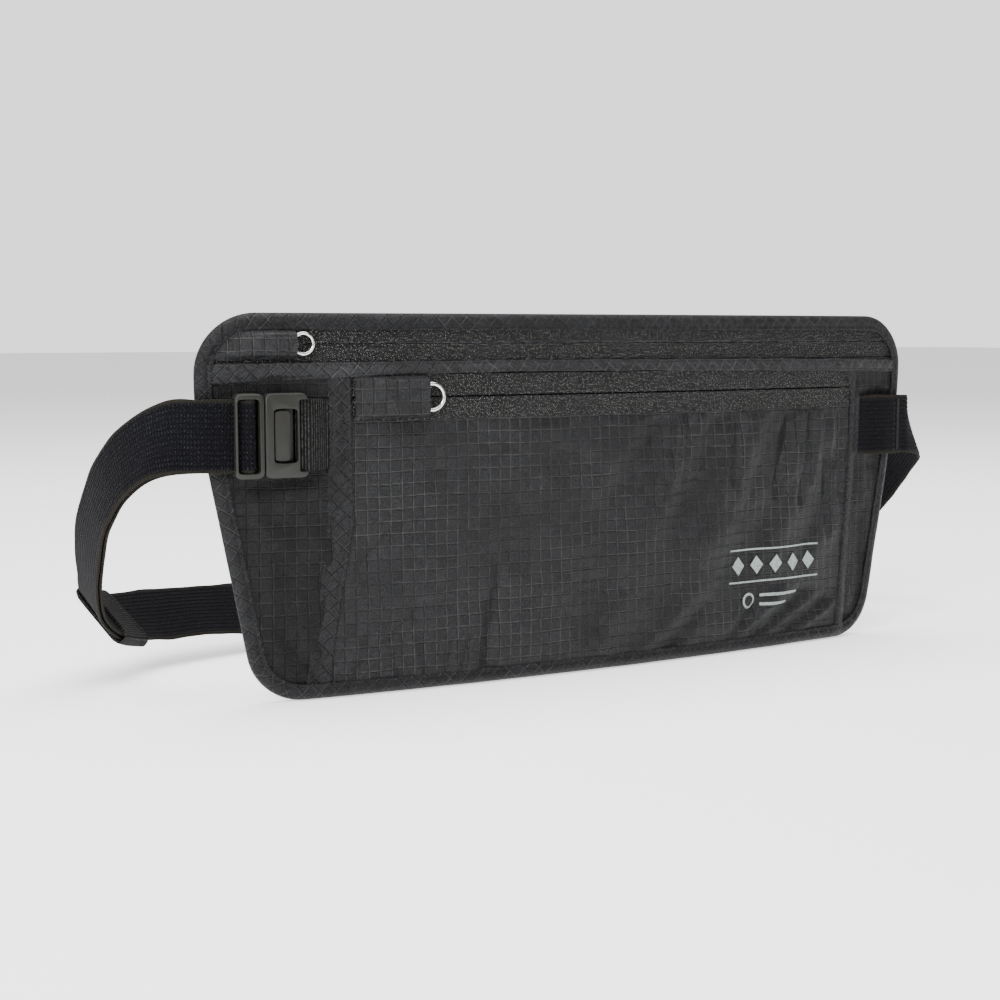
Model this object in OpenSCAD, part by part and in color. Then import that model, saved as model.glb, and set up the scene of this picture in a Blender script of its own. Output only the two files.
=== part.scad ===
// Flat waist pouch ("money belt"): two zipped pockets on a curved ripstop body,
// an elastic waist strap and a centre-press side buckle.
//
// Frame: the pouch stands on its lower edge at z = 0 and its front faces -Y.
// +X runs to the right as seen from the front.  The origin is the middle of the
// lower edge.  The pouch follows an arc about a vertical axis behind it, so a
// place on it is given by x (seen from the front) and w, the distance in front
// of its middle surface.

/* [Pouch] */
// Overall width of the pouch
pouch_w = 311; // [300:1:320]
// Overall height of the pouch
pouch_h = 133; // [131:0.5:135]
// Radius of the arc that the pouch follows
curve_r = 1130; // [1000:10:1600]
// Radius of the two top corners
top_corner_r = 21; // [18:1:22]
// Radius of the two bottom corners
bottom_corner_r = 20; // [18:1:22]
// Inward lean of the two sides, in degrees
side_lean = 10.8; // [9:0.1:12]
// Visible width of the edge binding
binding_w = 5.6; // [5:0.1:6]

/* [Zips] */
// Height of the upper zip's centre line
upper_zip_z = 122.6; // [122.4:0.1:122.8]
// Height of the lower zip's centre line
lower_zip_z = 104; // [103.8:0.1:104.2]
// Gap between the two halves of a zip
zip_slit = 0.8; // [0.7:0.1:1]

/* [Pull rings] */
// Outer radius of the upper pull ring
upper_ring_r = 4.1; // [3.8:0.1:4.2]
// Wire radius of the upper pull ring
upper_wire_r = 0.6; // [0.5:0.05:0.6]
// Outer radius of the lower pull ring
lower_ring_r = 5.25; // [5:0.05:5.4]
// Wire radius of the lower pull ring
lower_wire_r = 0.675; // [0.6:0.025:0.7]

/* [Strap and buckle] */
// Width of the elastic strap and of the webbing
strap_w = 24.5; // [24:0.1:24.6]
// Thickness of the elastic strap
strap_t = 1.2; // [1:0.1:1.3]
// Height of the buckle's centre line
buckle_z = 92; // [91:0.1:93]
// Height of the buckle across the strap
buckle_h = 28.5; // [28:0.1:29]

/* [Hidden] */

// Curved surfaces
arc_fn = 720;
round_fn = 48;
half_w = pouch_w / 2;
shoulder_r = 60;
shoulder_z = 108;
bottom_corner_z = bottom_corner_r;

// Depths in front of the middle surface, as [back, front]
back_w = [-2.9, -2.5];
shield_w = [-2.4, -2.2];
divider_w = [-0.5, -0.3];
base_w = [0, 0.4];
pocket_w = [2.0, 2.4];
trim_w = [2.5, 2.9];
binding_depth = [-3.4, 3.0];
binding_inner = [-3.0, 2.45];
upper_coil_w = [-0.9, -0.1];
lower_coil_w = [1.2, 1.9];

// Heights and places seen from the front
panel_inset = 1.2;
window_inset = binding_w + 0.2;
strip_z = [111.6, 116.9];
base_top_z = 116.6;
divider_top_z = 115;
upper_tape_edges = [117, 129.6];
lower_tape_edges = [96.3, 111.4];
pocket_top_z = 96;
pocket_x = [-104, 124];
coil_w = 1.3;
tape_bend_z = 61;

upper_garage_x = [-149, -121.4];
lower_garage_x = [-100.9, -74.6];
upper_garage_z = [117.2, 127.2];
lower_garage_z = [96.8, 111.2];

// Sliders: x of the pull ring's pivot, and the height of the ring's wire
upper_pivot_x = -122.4;
lower_pivot_x = -77.8;
upper_wire_w = 1.95;
lower_wire_w = 4.15;
upper_stop_x = 145.5;
lower_stop_x = 117;

// Buckle, in its own tangent frame: u along the strap, w outward.
// It rides high enough for the strap to pass in front of the edge binding.
buckle_x = -134.2;
buckle_w = [3.3, 8.9];
female_len = 15;
male_len = 10;
female_bar_u = 13.2;
female_bar_w = 5.2;
female_bar_r = 0.9;
male_bar_u = -5;
male_bar_w = 6.2;
male_bar_r = 1;
wall_t = 1.5;
floor_t = 0.9;
roof_t = 1.2;

// Route of the strap from the buckle down and back, as [x, y, z, roll]: its centre
// line, and how far the band leans over about its own heading, in degrees
route_left = [
    [-144.1, 4.5, 92, 0], [-150, 5, 92.2, 0], [-156.5, 5.9, 92.3, -1], [-163.7, 11.2, 91.8, -11],
    [-170.7, 19.2, 88.2, -21], [-176.5, 27.6, 81, -19], [-180.2, 36.7, 70.2, -10], [-181.1, 45.9, 57.5, 5],
    [-179.8, 55, 44.5, 16], [-176.2, 64, 32.7, 28], [-170, 73.4, 24.6, 46], [-160.3, 83, 20.8, 52],
    [-145.3, 92, 19.2, 46], [-125, 99.5, 18, 48], [-102, 105, 16.2, 42]
];
// The same from the pouch's right edge
route_right = [
    [153.9, 6.4, 88, 0], [157, 7, 87.9, 3], [162, 10.8, 87, 12], [168, 16, 84.8, 19],
    [174.5, 23.5, 81.8, 18], [180, 33.5, 75.5, 9], [183.8, 45.5, 66.3, 2], [184.6, 59, 55, 0],
    [181.6, 73.5, 43.8, 0], [175, 88, 33.6, 0], [165, 102, 25, 0], [151, 115, 18.2, 0],
    [134, 125, 14, 0], [114, 131.5, 12.6, 0]
];
// The low run behind the pouch, from right to left
route_rear = [[80, 136, 12.4, 0], [35, 136, 12.3, 0], [-10, 131, 12.4, -3], [-50, 122, 13, -14], [-80, 112, 14.4, -30]];
route_left_back = [for (i = [14 : -1 : 11]) [for (k = [0 : 3]) k == 3 ? -route_left[i][k] : route_left[i][k]]];
// Sewn end on the right, as [x, w]: from under the side tape up over the binding
tab_profile = [[127, 1.25], [131, 1.35], [135, 2], [139, 3.1], [143, 3.9], [147, 4.05], [153.2, 4.05]];
layer_gap = 0.75;
route_steps = 4;
// Stations along the smoothed left route where the doubled layers end
outer_end = 43;
inner_end = 42;
keeper_stations = [40, 45];

// ---------------------------------------------------------------- helpers

// Point [x, y] of a place on the pouch, seen from above
function on_arc(x, w) =
    let (a = asin(x / curve_r))
    [(curve_r + w) * sin(a), curve_r - (curve_r + w) * cos(a)];

// Points along an arc
function arc_points(cx, cz, r, from, to, steps) =
    [for (i = [0 : steps]) let (a = from + (to - from) * i / steps) [cx + r * cos(a), cz + r * sin(a)]];

// Right half of the pouch's outline, from the top down, moved in by "inset"
function half_outline(inset) =
    let (
        join_x = half_w - shoulder_r + shoulder_r * cos(side_lean),
        join_z = shoulder_z - shoulder_r * sin(side_lean),
        corner_x = join_x - (join_z - bottom_corner_z + bottom_corner_r * sin(side_lean))
            * tan(side_lean) - bottom_corner_r * cos(side_lean)
    )
    concat(
        arc_points(half_w - top_corner_r, pouch_h - top_corner_r, top_corner_r - inset, 90, 0, 10),
        arc_points(half_w - shoulder_r, shoulder_z, shoulder_r - inset, 0, -side_lean, 4),
        arc_points(corner_x, bottom_corner_z, bottom_corner_r - inset, -side_lean, -90, 10)
    );

function reversed(list) = [for (i = [len(list) - 1 : -1 : 0]) list[i]];

function pouch_outline(inset) =
    let (right = half_outline(inset))
    concat(right, [for (p = reversed(right)) [-p[0], p[1]]]);

// A sheet between two depths of the curved body, cut to the 2D children (x, z)
module bent(depth) {
    intersection() {
        translate([0, curve_r, -5])
            difference() {
                cylinder(h = pouch_h + 10, r = curve_r + depth[1], $fn = arc_fn);
                translate([0, 0, -5])
                    cylinder(h = pouch_h + 20, r = curve_r + depth[0], $fn = arc_fn);
            }
        translate([0, 40, 0])
            rotate([90, 0, 0])
                linear_extrude(60)
                    children();
    }
}

// A rectangle given by its x and z ranges
module area(xs, zs) {
    translate([xs[0], zs[0]])
        square([xs[1] - xs[0], zs[1] - zs[0]]);
}

// The part of an area that lies inside the pouch's outline
module inside(inset) {
    intersection() {
        polygon(pouch_outline(inset));
        children();
    }
}

// Children modelled flat (x along the pouch, -y outward) are set on the body at x
module set_on_body(x) {
    place = on_arc(x, 0);
    translate([place[0], place[1], 0])
        rotate([0, 0, asin(x / curve_r)])
            children();
}

// A block in that flat frame: us along the pouch, ws outward, zs upward
module block(us, ws, zs) {
    translate([us[0], -ws[1], zs[0]])
        cube([us[1] - us[0], ws[1] - ws[0], zs[1] - zs[0]]);
}

// Both sides of a line of 2D points, as one outline of thickness t
function side_normal(path, i) =
    let (
        a = path[max(i - 1, 0)],
        b = path[min(i + 1, len(path) - 1)],
        d = b - a
    )
    [-d[1], d[0]] / norm(d);

function ribbon_outline(path, t) = concat(
    [for (i = [0 : len(path) - 1]) path[i] + side_normal(path, i) * t / 2],
    [for (i = [len(path) - 1 : -1 : 0]) path[i] - side_normal(path, i) * t / 2]
);

// A band standing on its edge: path seen from above, height range zs
module ribbon(path, t, zs) {
    translate([0, 0, zs[0]])
        linear_extrude(zs[1] - zs[0])
            polygon(ribbon_outline(path, t));
}

// Smooth curve through a route's points
function curve_at(a, b, c, d, t) =
    0.5 * (2 * b + (c - a) * t + (2 * a - 5 * b + 4 * c - d) * t * t
        + (3 * b - a - 3 * c + d) * t * t * t);

function smooth(route, steps) =
    let (last = len(route) - 1)
    concat(
        [for (i = [0 : last - 1])
            let (
                a = i == 0 ? 2 * route[0] - route[1] : route[i - 1],
                d = i == last - 1 ? 2 * route[last] - route[last - 1] : route[i + 2]
            )
            for (k = [0 : steps - 1]) curve_at(a, route[i], route[i + 1], d, k / steps)],
        [route[last]]
    );

function unit(v) = v / norm(v);

// A station's place, without its roll
function place_of(station) = [station[0], station[1], station[2]];

function heading(stations, i) =
    unit(place_of(stations[min(i + 1, len(stations) - 1)]) - place_of(stations[max(i - 1, 0)]));

// Direction across the band: as upright as its heading allows, then rolled over
function upright(t) = unit([0, 0, 1] - t[2] * t);
function across(t, roll) = upright(t) * cos(roll) + cross(upright(t), t) * sin(roll);

// Four corners of the band at station i: "out" moves it along its face normal
function band_ring(stations, i, width, thick, out) =
    let (
        t = heading(stations, i),
        u = across(t, stations[i][3]),
        n = cross(u, t),
        c = place_of(stations[i]) + n * out
    )
    [
        c + u * width / 2 + n * thick / 2,
        c + u * width / 2 - n * thick / 2,
        c - u * width / 2 - n * thick / 2,
        c - u * width / 2 + n * thick / 2
    ];

module band(stations, width, thick, out) {
    count = len(stations);
    corners = [for (i = [0 : count - 1]) each band_ring(stations, i, width, thick, out)];
    walls = [for (i = [0 : count - 2]) for (k = [0 : 3])
        let (
            a = 4 * i + k,
            b = 4 * i + (k + 1) % 4
        )
        // both faces of the band are split along the same diagonal
        each k == 1 ? [[a, a + 4, b], [b, a + 4, b + 4]] : [[a, b + 4, b], [a, a + 4, b + 4]]];
    start_cap = [[0, 1, 2, 3]];
    end_cap = [[for (k = [3 : -1 : 0]) 4 * (count - 1) + k]];
    polyhedron(points = corners, faces = concat(start_cap, walls, end_cap), convexity = 10);
}

// ---------------------------------------------------------------- pouch body

module back_panel() {
    color([0.09, 0.09, 0.10])
        bent(back_w)
            polygon(pouch_outline(panel_inset));
}

module shield_liner() {
    color([0.62, 0.63, 0.64])
        bent(shield_w)
            polygon(pouch_outline(panel_inset + 1));
}

module pocket_divider() {
    color([0.14, 0.14, 0.15])
        bent(divider_w)
            inside(panel_inset + 1)
                area([-half_w, half_w], [0, divider_top_z]);
}

module front_base_panel() {
    color([0.15, 0.15, 0.16])
        bent(base_w)
            inside(panel_inset)
                area([-half_w, half_w], [0, base_top_z]);
}

module front_pocket_panel() {
    color([0.17, 0.17, 0.18])
        bent(pocket_w)
            inside(panel_inset)
                area(pocket_x, [0, pocket_top_z]);
}

module edge_binding() {
    color([0.12, 0.12, 0.12])
        difference() {
            bent(binding_depth)
                polygon(pouch_outline(0));
            bent(binding_inner)
                polygon(pouch_outline(0.8));
            bent(binding_depth + [-1, 1])
                polygon(pouch_outline(binding_w));
        }
}

module middle_strip() {
    color([0.12, 0.12, 0.12])
        bent(trim_w)
            inside(window_inset)
                area([-half_w, half_w], strip_z);
}

module pocket_tape_left() {
    color([0.12, 0.12, 0.12])
        bent(trim_w)
            inside(window_inset)
                polygon([
                    [-110.8, strip_z[0] - 0.2], [-101.3, strip_z[0] - 0.2], [-101.3, tape_bend_z],
                    [-110, 0], [-119.6, 0], [-110.8, tape_bend_z]
                ]);
}

module pocket_tape_right() {
    color([0.12, 0.12, 0.12])
        bent(trim_w)
            inside(window_inset)
                polygon([
                    [120, strip_z[0] - 0.2], [129.2, strip_z[0] - 0.2], [129.2, tape_bend_z],
                    [123, 0], [116.5, 0], [122.7, tape_bend_z]
                ]);
}

// ---------------------------------------------------------------- zips

// One tape: xs along the pouch, zs its two edges, at depth ws
module tape(xs, zs, ws) {
    color([0.06, 0.06, 0.07])
        bent(ws)
            inside(panel_inset)
                area(xs, zs);
}

// One half of a coil, sewn to the back of its tape beside the slit
module coil(xs, zs, ws) {
    color([0.05, 0.05, 0.06])
        bent(ws)
            area(xs, zs);
}

module upper_zip_tape_top() {
    tape([-half_w, half_w], [upper_zip_z + zip_slit / 2, upper_tape_edges[1]], base_w);
}

module upper_zip_tape_bottom() {
    tape([-half_w, half_w], [upper_tape_edges[0], upper_zip_z - zip_slit / 2], base_w);
}

module upper_coil_top() {
    edge = upper_zip_z + zip_slit / 2;
    coil([-146, upper_stop_x - 1], [edge, edge + coil_w], upper_coil_w);
}

module upper_coil_bottom() {
    edge = upper_zip_z - zip_slit / 2;
    coil([-146, upper_stop_x - 1], [edge - coil_w, edge], upper_coil_w);
}

module lower_zip_tape_top() {
    tape(pocket_x, [lower_zip_z + zip_slit / 2, lower_tape_edges[1]], pocket_w);
}

module lower_zip_tape_bottom() {
    tape(pocket_x, [lower_tape_edges[0], lower_zip_z - zip_slit / 2], pocket_w);
}

module lower_coil_top() {
    edge = lower_zip_z + zip_slit / 2;
    coil([pocket_x[0] + 2, lower_stop_x - 1], [edge, edge + coil_w], lower_coil_w);
}

module lower_coil_bottom() {
    edge = lower_zip_z - zip_slit / 2;
    coil([pocket_x[0] + 2, lower_stop_x - 1], [edge - coil_w, edge], lower_coil_w);
}

// Stitched stop that closes the slit at the end of a coil
module zip_stop(x, z, ws) {
    color([0.05, 0.05, 0.06])
        bent(ws)
            area([x, x + 2], [z - 2, z + 2]);
}

module upper_zip_stop() {
    zip_stop(upper_stop_x, upper_zip_z, [-0.9, -0.05]);
}

module lower_zip_stop() {
    zip_stop(lower_stop_x, lower_zip_z, [1.1, 1.95]);
}

// Slider: plates in front of and behind the zip, a neck through the slit and
// a bridge that holds the pull ring's wire.  u = 0 is the ring's pivot.
module slider(z, half_h, plate_w, rear_w, wire_w, wire_r) {
    leg = 0.9;
    gap = wire_r + 0.35;
    bridge_top = wire_w + wire_r + 0.8;
    plate_u = [-9.5, 2.4];
    color([0.55, 0.55, 0.56]) {
        block([plate_u[0], plate_u[1]], plate_w, [z - half_h, z + half_h]);
        block([plate_u[0], plate_u[1] - 1], rear_w, [z - half_h + 0.4, z + half_h - 0.4]);
        block([-2.2, plate_u[1] - 1], [rear_w[1] - 0.01, plate_w[0] + 0.01], [z - 0.2, z + 0.2]);
        block([-gap - leg, -gap], [plate_w[1] - 0.01, bridge_top], [z - 0.8, z + 0.8]);
        block([gap, gap + leg], [plate_w[1] - 0.01, bridge_top], [z - 0.8, z + 0.8]);
        block([-gap - leg, gap + leg], [bridge_top - 0.55, bridge_top], [z - 0.8, z + 0.8]);
    }
}

module upper_slider() {
    set_on_body(upper_pivot_x)
        slider(upper_zip_z, 3.3, [0.55, 1.1], [-1.7, -1.1], upper_wire_w, upper_wire_r);
}

module lower_slider() {
    set_on_body(lower_pivot_x)
        slider(lower_zip_z, 3.8, [2.55, 3.2], [0.55, 1.05], lower_wire_w, lower_wire_r);
}

// Round wire ring lying flat to the right of its pivot
module pull_ring(z, ring_r, wire_r, wire_w) {
    mid_r = ring_r - wire_r;
    color([0.82, 0.82, 0.80])
        translate([mid_r, -wire_w, z])
            rotate([90, 0, 0])
                rotate_extrude($fn = round_fn)
                    translate([mid_r, 0])
                        circle(r = wire_r, $fn = round_fn / 2);
}

module upper_pull_ring() {
    set_on_body(upper_pivot_x)
        pull_ring(upper_zip_z, upper_ring_r, upper_wire_r, upper_wire_w);
}

module lower_pull_ring() {
    set_on_body(lower_pivot_x)
        pull_ring(lower_zip_z, lower_ring_r, lower_wire_r, lower_wire_w);
}

// Fabric cover over a closed zip's slider, open towards the zip
module garage(xs, zs, ws) {
    hem = 0.45;
    color([0.16, 0.16, 0.18])
        difference() {
            bent(ws)
                inside(window_inset)
                    area(xs, zs);
            bent([ws[0] - 1, ws[1] - hem])
                inside(window_inset + hem)
                    area([xs[0] + hem, xs[1] + 1], zs + [hem, -hem]);
        }
}

module upper_garage() {
    garage(upper_garage_x, upper_garage_z, [0.5, 3.95]);
}

module lower_garage() {
    garage(lower_garage_x, lower_garage_z, [2.5, 6.3]);
}

// ---------------------------------------------------------------- buckle

buckle_span = [buckle_z - buckle_h / 2, buckle_z + buckle_h / 2];
channel_span = [buckle_span[0] + wall_t, buckle_span[1] - wall_t];

// Rounded plate profile in (u, z), drawn as a hull of four discs
module rounded_area(us, zs, r) {
    hull()
        for (u = [us[0] + r, us[1] - r], z = [zs[0] + r, zs[1] - r])
            translate([u, z])
                circle(r = r, $fn = 32);
}

// An upright plate of that profile between two depths
module plate(us, ws, zs, r) {
    translate([0, -ws[0], 0])
        rotate([90, 0, 0])
            linear_extrude(ws[1] - ws[0])
                rounded_area(us, zs, r);
}

module buckle_female() {
    window_z = [buckle_z - 9.15, buckle_z + 9.15];
    channel_w = [buckle_w[0] + floor_t, buckle_w[1] - roof_t];
    color([0.24, 0.24, 0.21])
        set_on_body(buckle_x) {
            difference() {
                plate([0.15, female_len], buckle_w, buckle_span, 2.2);
                // channel for the tongue and the guides, open on the male side
                block([-1, 12.2], channel_w, channel_span);
                // press window in the front
                block([3, 11.3], [channel_w[1] - 1, buckle_w[1] + 1], window_z);
                // room for the webbing at the far end
                block([11.9, female_len + 1], buckle_w + [-1, 1], channel_span + [0.6, -0.6]);
                block([10.9, 12], [buckle_w[0] - 1, channel_w[0] + 0.1], channel_span + [0.6, -0.6]);
            }
            translate([female_bar_u, -female_bar_w, channel_span[0]])
                cylinder(h = channel_span[1] - channel_span[0], r = female_bar_r, $fn = round_fn);
        }
}

module buckle_male() {
    slot_z = [buckle_z - 12.4, buckle_z + 12.4];
    guide_h = 2;
    guide_w = [4.7, 7.2];
    strap_entry_top = 6.3;
    color([0.24, 0.24, 0.21])
        set_on_body(buckle_x) {
            difference() {
                plate([-male_len, -0.15], buckle_w, buckle_span, 2.2);
                block([-male_len + 1, -1.4], buckle_w + [-1, 1], slot_z);
                // the strap enters below the outer rail
                block([-male_len - 1, -male_len + 1.5], [0, strap_entry_top], slot_z);
            }
            translate([male_bar_u, -male_bar_w, slot_z[0] - 0.2])
                cylinder(h = slot_z[1] - slot_z[0] + 0.4, r = male_bar_r, $fn = round_fn);
            // guides that run in the female part's channel
            for (low = [channel_span[0] + 0.3, channel_span[1] - 0.3 - guide_h])
                block([-0.5, 10], guide_w, [low, low + guide_h]);
        }
}

module buckle_latch() {
    tongue_z = [buckle_z - 7.5, buckle_z + 7.5];
    pad_z = [buckle_z - 8.6, buckle_z + 8.6];
    tongue_w = [5.8, 6.9];
    pad_top_w = 7.4;
    color([0.26, 0.26, 0.23])
        set_on_body(buckle_x) {
            block([0.1, 9.4], tongue_w, tongue_z);
            translate([3.6, 0, 0])
                plate([0, 6], [tongue_w[0], pad_top_w], pad_z, 0.6);
        }
}

// Short webbing that holds the female part: two layers around its bar
module webbing_tab_left() {
    bar_x = buckle_x + female_bar_u;
    loop_r = female_bar_r + 0.65;
    loop = [for (a = [90 : 20 : 270])
        on_arc(bar_x + loop_r * cos(a), female_bar_w + loop_r * sin(a))];
    path = concat(
        [on_arc(-106.5, 1.95), on_arc(-110, 1.95), on_arc(-112, 2.3), on_arc(-115, 4.6), on_arc(-118, 6.4)],
        loop,
        [on_arc(-118, 2.9), on_arc(-114, 1.1), on_arc(-110, 0.95), on_arc(-106.5, 0.95)]
    );
    color([0.07, 0.07, 0.07])
        ribbon(path, 0.9, [buckle_z - 12.1, buckle_z + 12.1]);
}

// ---------------------------------------------------------------- strap

// Sewn-down end of the strap on the right: over the side panel and the binding
module strap_tab_right() {
    path = [for (p = tab_profile)
        on_arc(p[0], p[1])];
    color([0.07, 0.07, 0.09])
        ribbon(path, strap_t, [88 - strap_w / 2, 88 + strap_w / 2]);
}

module strap_rear_run() {
    route = concat(route_right, route_rear, route_left_back);
    color([0.07, 0.07, 0.09])
        band(smooth(route, route_steps), strap_w, strap_t, 0);
}

// Part of the smoothed left route, between two of its stations
function left_stretch(from, to) =
    let (all = smooth(route_left, route_steps))
    [for (i = [from : to]) all[i]];

module strap_outer_layer() {
    color([0.08, 0.08, 0.10])
        band(left_stretch(0, outer_end), strap_w, strap_t, layer_gap);
}

module strap_inner_layer() {
    color([0.06, 0.06, 0.08])
        band(left_stretch(0, inner_end), strap_w, strap_t, -layer_gap);
}

// The fold of the strap around the male part's bar
module strap_bar_wrap() {
    turn_r = male_bar_r + 0.9;
    turn = [for (a = [140 : -20 : -120])
        [buckle_x + male_bar_u + turn_r * cos(a), male_bar_w + turn_r * sin(a)]];
    path = concat([[-142.9, 5.55], [-142.2, 5.95]], turn, [[-141.6, 4.15], [-142.9, 4]]);
    color([0.08, 0.08, 0.10])
        ribbon([for (p = path) on_arc(p[0], p[1])], strap_t, [buckle_z - 12.1, buckle_z + 12.1]);
}

// Sewn loop that holds the two runs together
module strap_keeper() {
    color([0.06, 0.06, 0.07])
        difference() {
            band(left_stretch(keeper_stations[0], keeper_stations[1]), strap_w + 3, 5.4, 0.35);
            band(left_stretch(keeper_stations[0] - 1, keeper_stations[1] + 1), strap_w + 0.8, 3.6, 0.35);
        }
}

// Dense stitched bars at the strap ends
module bar_tacks() {
    color([0.03, 0.03, 0.03]) {
        bent([4.75, 5.1])
            area([148.6, 149.8], [79, 97]);
        bent([2.95, 3.25])
            area([-108.2, -107.2], [81, 103]);
    }
}

back_panel();
shield_liner();
pocket_divider();
front_base_panel();
front_pocket_panel();
edge_binding();
middle_strip();
pocket_tape_left();
pocket_tape_right();
upper_zip_tape_top();
upper_zip_tape_bottom();
upper_coil_top();
upper_coil_bottom();
upper_zip_stop();
upper_slider();
upper_pull_ring();
upper_garage();
lower_zip_tape_top();
lower_zip_tape_bottom();
lower_coil_top();
lower_coil_bottom();
lower_zip_stop();
lower_slider();
lower_pull_ring();
lower_garage();
buckle_female();
buckle_male();
buckle_latch();
webbing_tab_left();
strap_tab_right();
strap_rear_run();
strap_outer_layer();
strap_inner_layer();
strap_bar_wrap();
strap_keeper();
bar_tacks();
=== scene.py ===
"""Looks for the waist pouch: fabrics, zips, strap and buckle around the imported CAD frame.

Places on the pouch are given in millimetres as (x, w, z): x seen from the front, w the
distance in front of the pouch's middle surface, z the height.  Meshes are in metres.
"""
import math

import bmesh
import bpy
import numpy as np
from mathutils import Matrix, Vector


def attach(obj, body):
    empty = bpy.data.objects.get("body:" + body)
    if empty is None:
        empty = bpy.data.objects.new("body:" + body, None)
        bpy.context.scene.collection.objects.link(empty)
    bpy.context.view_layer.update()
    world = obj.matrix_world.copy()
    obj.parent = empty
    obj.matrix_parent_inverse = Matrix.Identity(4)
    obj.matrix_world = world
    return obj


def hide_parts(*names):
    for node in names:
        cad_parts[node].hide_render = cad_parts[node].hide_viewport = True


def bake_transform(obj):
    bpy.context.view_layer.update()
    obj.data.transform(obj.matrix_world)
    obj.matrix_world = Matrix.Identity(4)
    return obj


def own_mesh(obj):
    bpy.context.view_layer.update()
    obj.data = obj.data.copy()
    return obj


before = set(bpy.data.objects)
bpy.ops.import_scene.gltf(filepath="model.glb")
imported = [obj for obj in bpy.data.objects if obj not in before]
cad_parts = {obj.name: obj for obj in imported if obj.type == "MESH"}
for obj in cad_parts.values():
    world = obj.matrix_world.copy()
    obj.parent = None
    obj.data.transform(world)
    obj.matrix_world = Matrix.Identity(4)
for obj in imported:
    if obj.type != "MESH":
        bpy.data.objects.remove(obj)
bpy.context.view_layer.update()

MM = 0.001
CURVE_R = 1130.0
HALF_W, HEIGHT = 155.5, 133.0
UPPER_ZIP_Z, LOWER_ZIP_Z = 122.6, 104.0
BUCKLE_X = -134.2


# ------------------------------------------------------------------ camera and light

def add_object(name, data):
    made = bpy.data.objects.new(name, data)
    bpy.context.scene.collection.objects.link(made)
    return made


def aim(thing, place, direction):
    thing.location = place
    thing.rotation_mode = "QUATERNION"
    thing.rotation_quaternion = Vector(direction).to_track_quat("-Z", "Y")


def make_camera():
    data = bpy.data.cameras.new("camera")
    data.lens, data.sensor_width = 59.5, 36.0
    camera = add_object("camera", data)
    aim(camera, (-0.340, -0.514, 0.127), (0.4950, 0.8629, -0.1020))
    bpy.context.scene.camera = camera


def area_light(name, place, target, size, watts):
    data = bpy.data.lights.new(name, "AREA")
    data.shape, data.size, data.size_y = "RECTANGLE", size[0], size[1]
    data.energy = watts
    aim(add_object(name, data), place, Vector(target) - Vector(place))


def make_world():
    """Soft light that falls off towards the right, and a backdrop that looks brighter than it lights."""
    world = bpy.data.worlds.new("studio")
    world.use_nodes = True
    tree = world.node_tree
    new, link = tree.nodes.new, tree.links.new
    soft, backdrop = tree.nodes["Background"], new("ShaderNodeBackground")
    for shader in (soft, backdrop):
        shader.inputs["Color"].default_value = (1, 1, 1, 1)
    backdrop.inputs["Strength"].default_value = 1.7
    way = new("ShaderNodeSeparateXYZ")
    link(new("ShaderNodeTexCoord").outputs["Generated"], way.inputs[0])
    fall = new("ShaderNodeMapRange")
    for k, value in enumerate((-0.4, 0.75, 0.50, 0.05), start=1):
        fall.inputs[k].default_value = value
    link(way.outputs[0], fall.inputs[0])
    link(fall.outputs[0], soft.inputs["Strength"])
    choose = new("ShaderNodeMixShader")
    link(new("ShaderNodeLightPath").outputs["Is Camera Ray"], choose.inputs[0])
    link(soft.outputs[0], choose.inputs[1])
    link(backdrop.outputs[0], choose.inputs[2])
    link(choose.outputs[0], tree.nodes["World Output"].inputs["Surface"])
    bpy.context.scene.world = world


def make_stage():
    area_light("key", (-0.80, -0.62, 0.60), (-0.04, 0, 0.06), (0.5, 0.4), 15)
    area_light("top", (0.0, 0.15, 1.3), (0, 0.05, 0.0), (1.6, 1.2), 40)
    area_light("side", (0.9, -0.7, 0.45), (0.05, 0, 0.06), (0.2, 0.7), 1.2)
    make_world()
    mesh = bpy.data.meshes.new("floor")
    s = 9.0
    mesh.from_pydata([(-s, -s, 0), (s, -s, 0), (s, s, 0), (-s, s, 0)], [], [(0, 1, 2, 3)])
    mat = bpy.data.materials.new("floor")
    mat.use_nodes = True
    shader = mat.node_tree.nodes["Principled BSDF"]
    for key, value in (("Base Color", (0.93, 0.93, 0.93, 1)), ("Roughness", 0.9),
                       ("Emission Color", (1, 1, 1, 1)), ("Emission Strength", 0.85)):
        shader.inputs[key].default_value = value
    mesh.materials.append(mat)
    add_object("floor", mesh)


# ------------------------------------------------------------------ materials

class Value:
    """A shader output that adds, subtracts and multiplies like a number."""

    def __init__(self, nodes, socket):
        self.nodes, self.socket = nodes, socket

    def __add__(self, other):
        return self.nodes.math("ADD", self, other)

    def __sub__(self, other):
        return self.nodes.math("SUBTRACT", self, other)

    def __mul__(self, other):
        return self.nodes.math("MULTIPLY", self, other)


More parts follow.
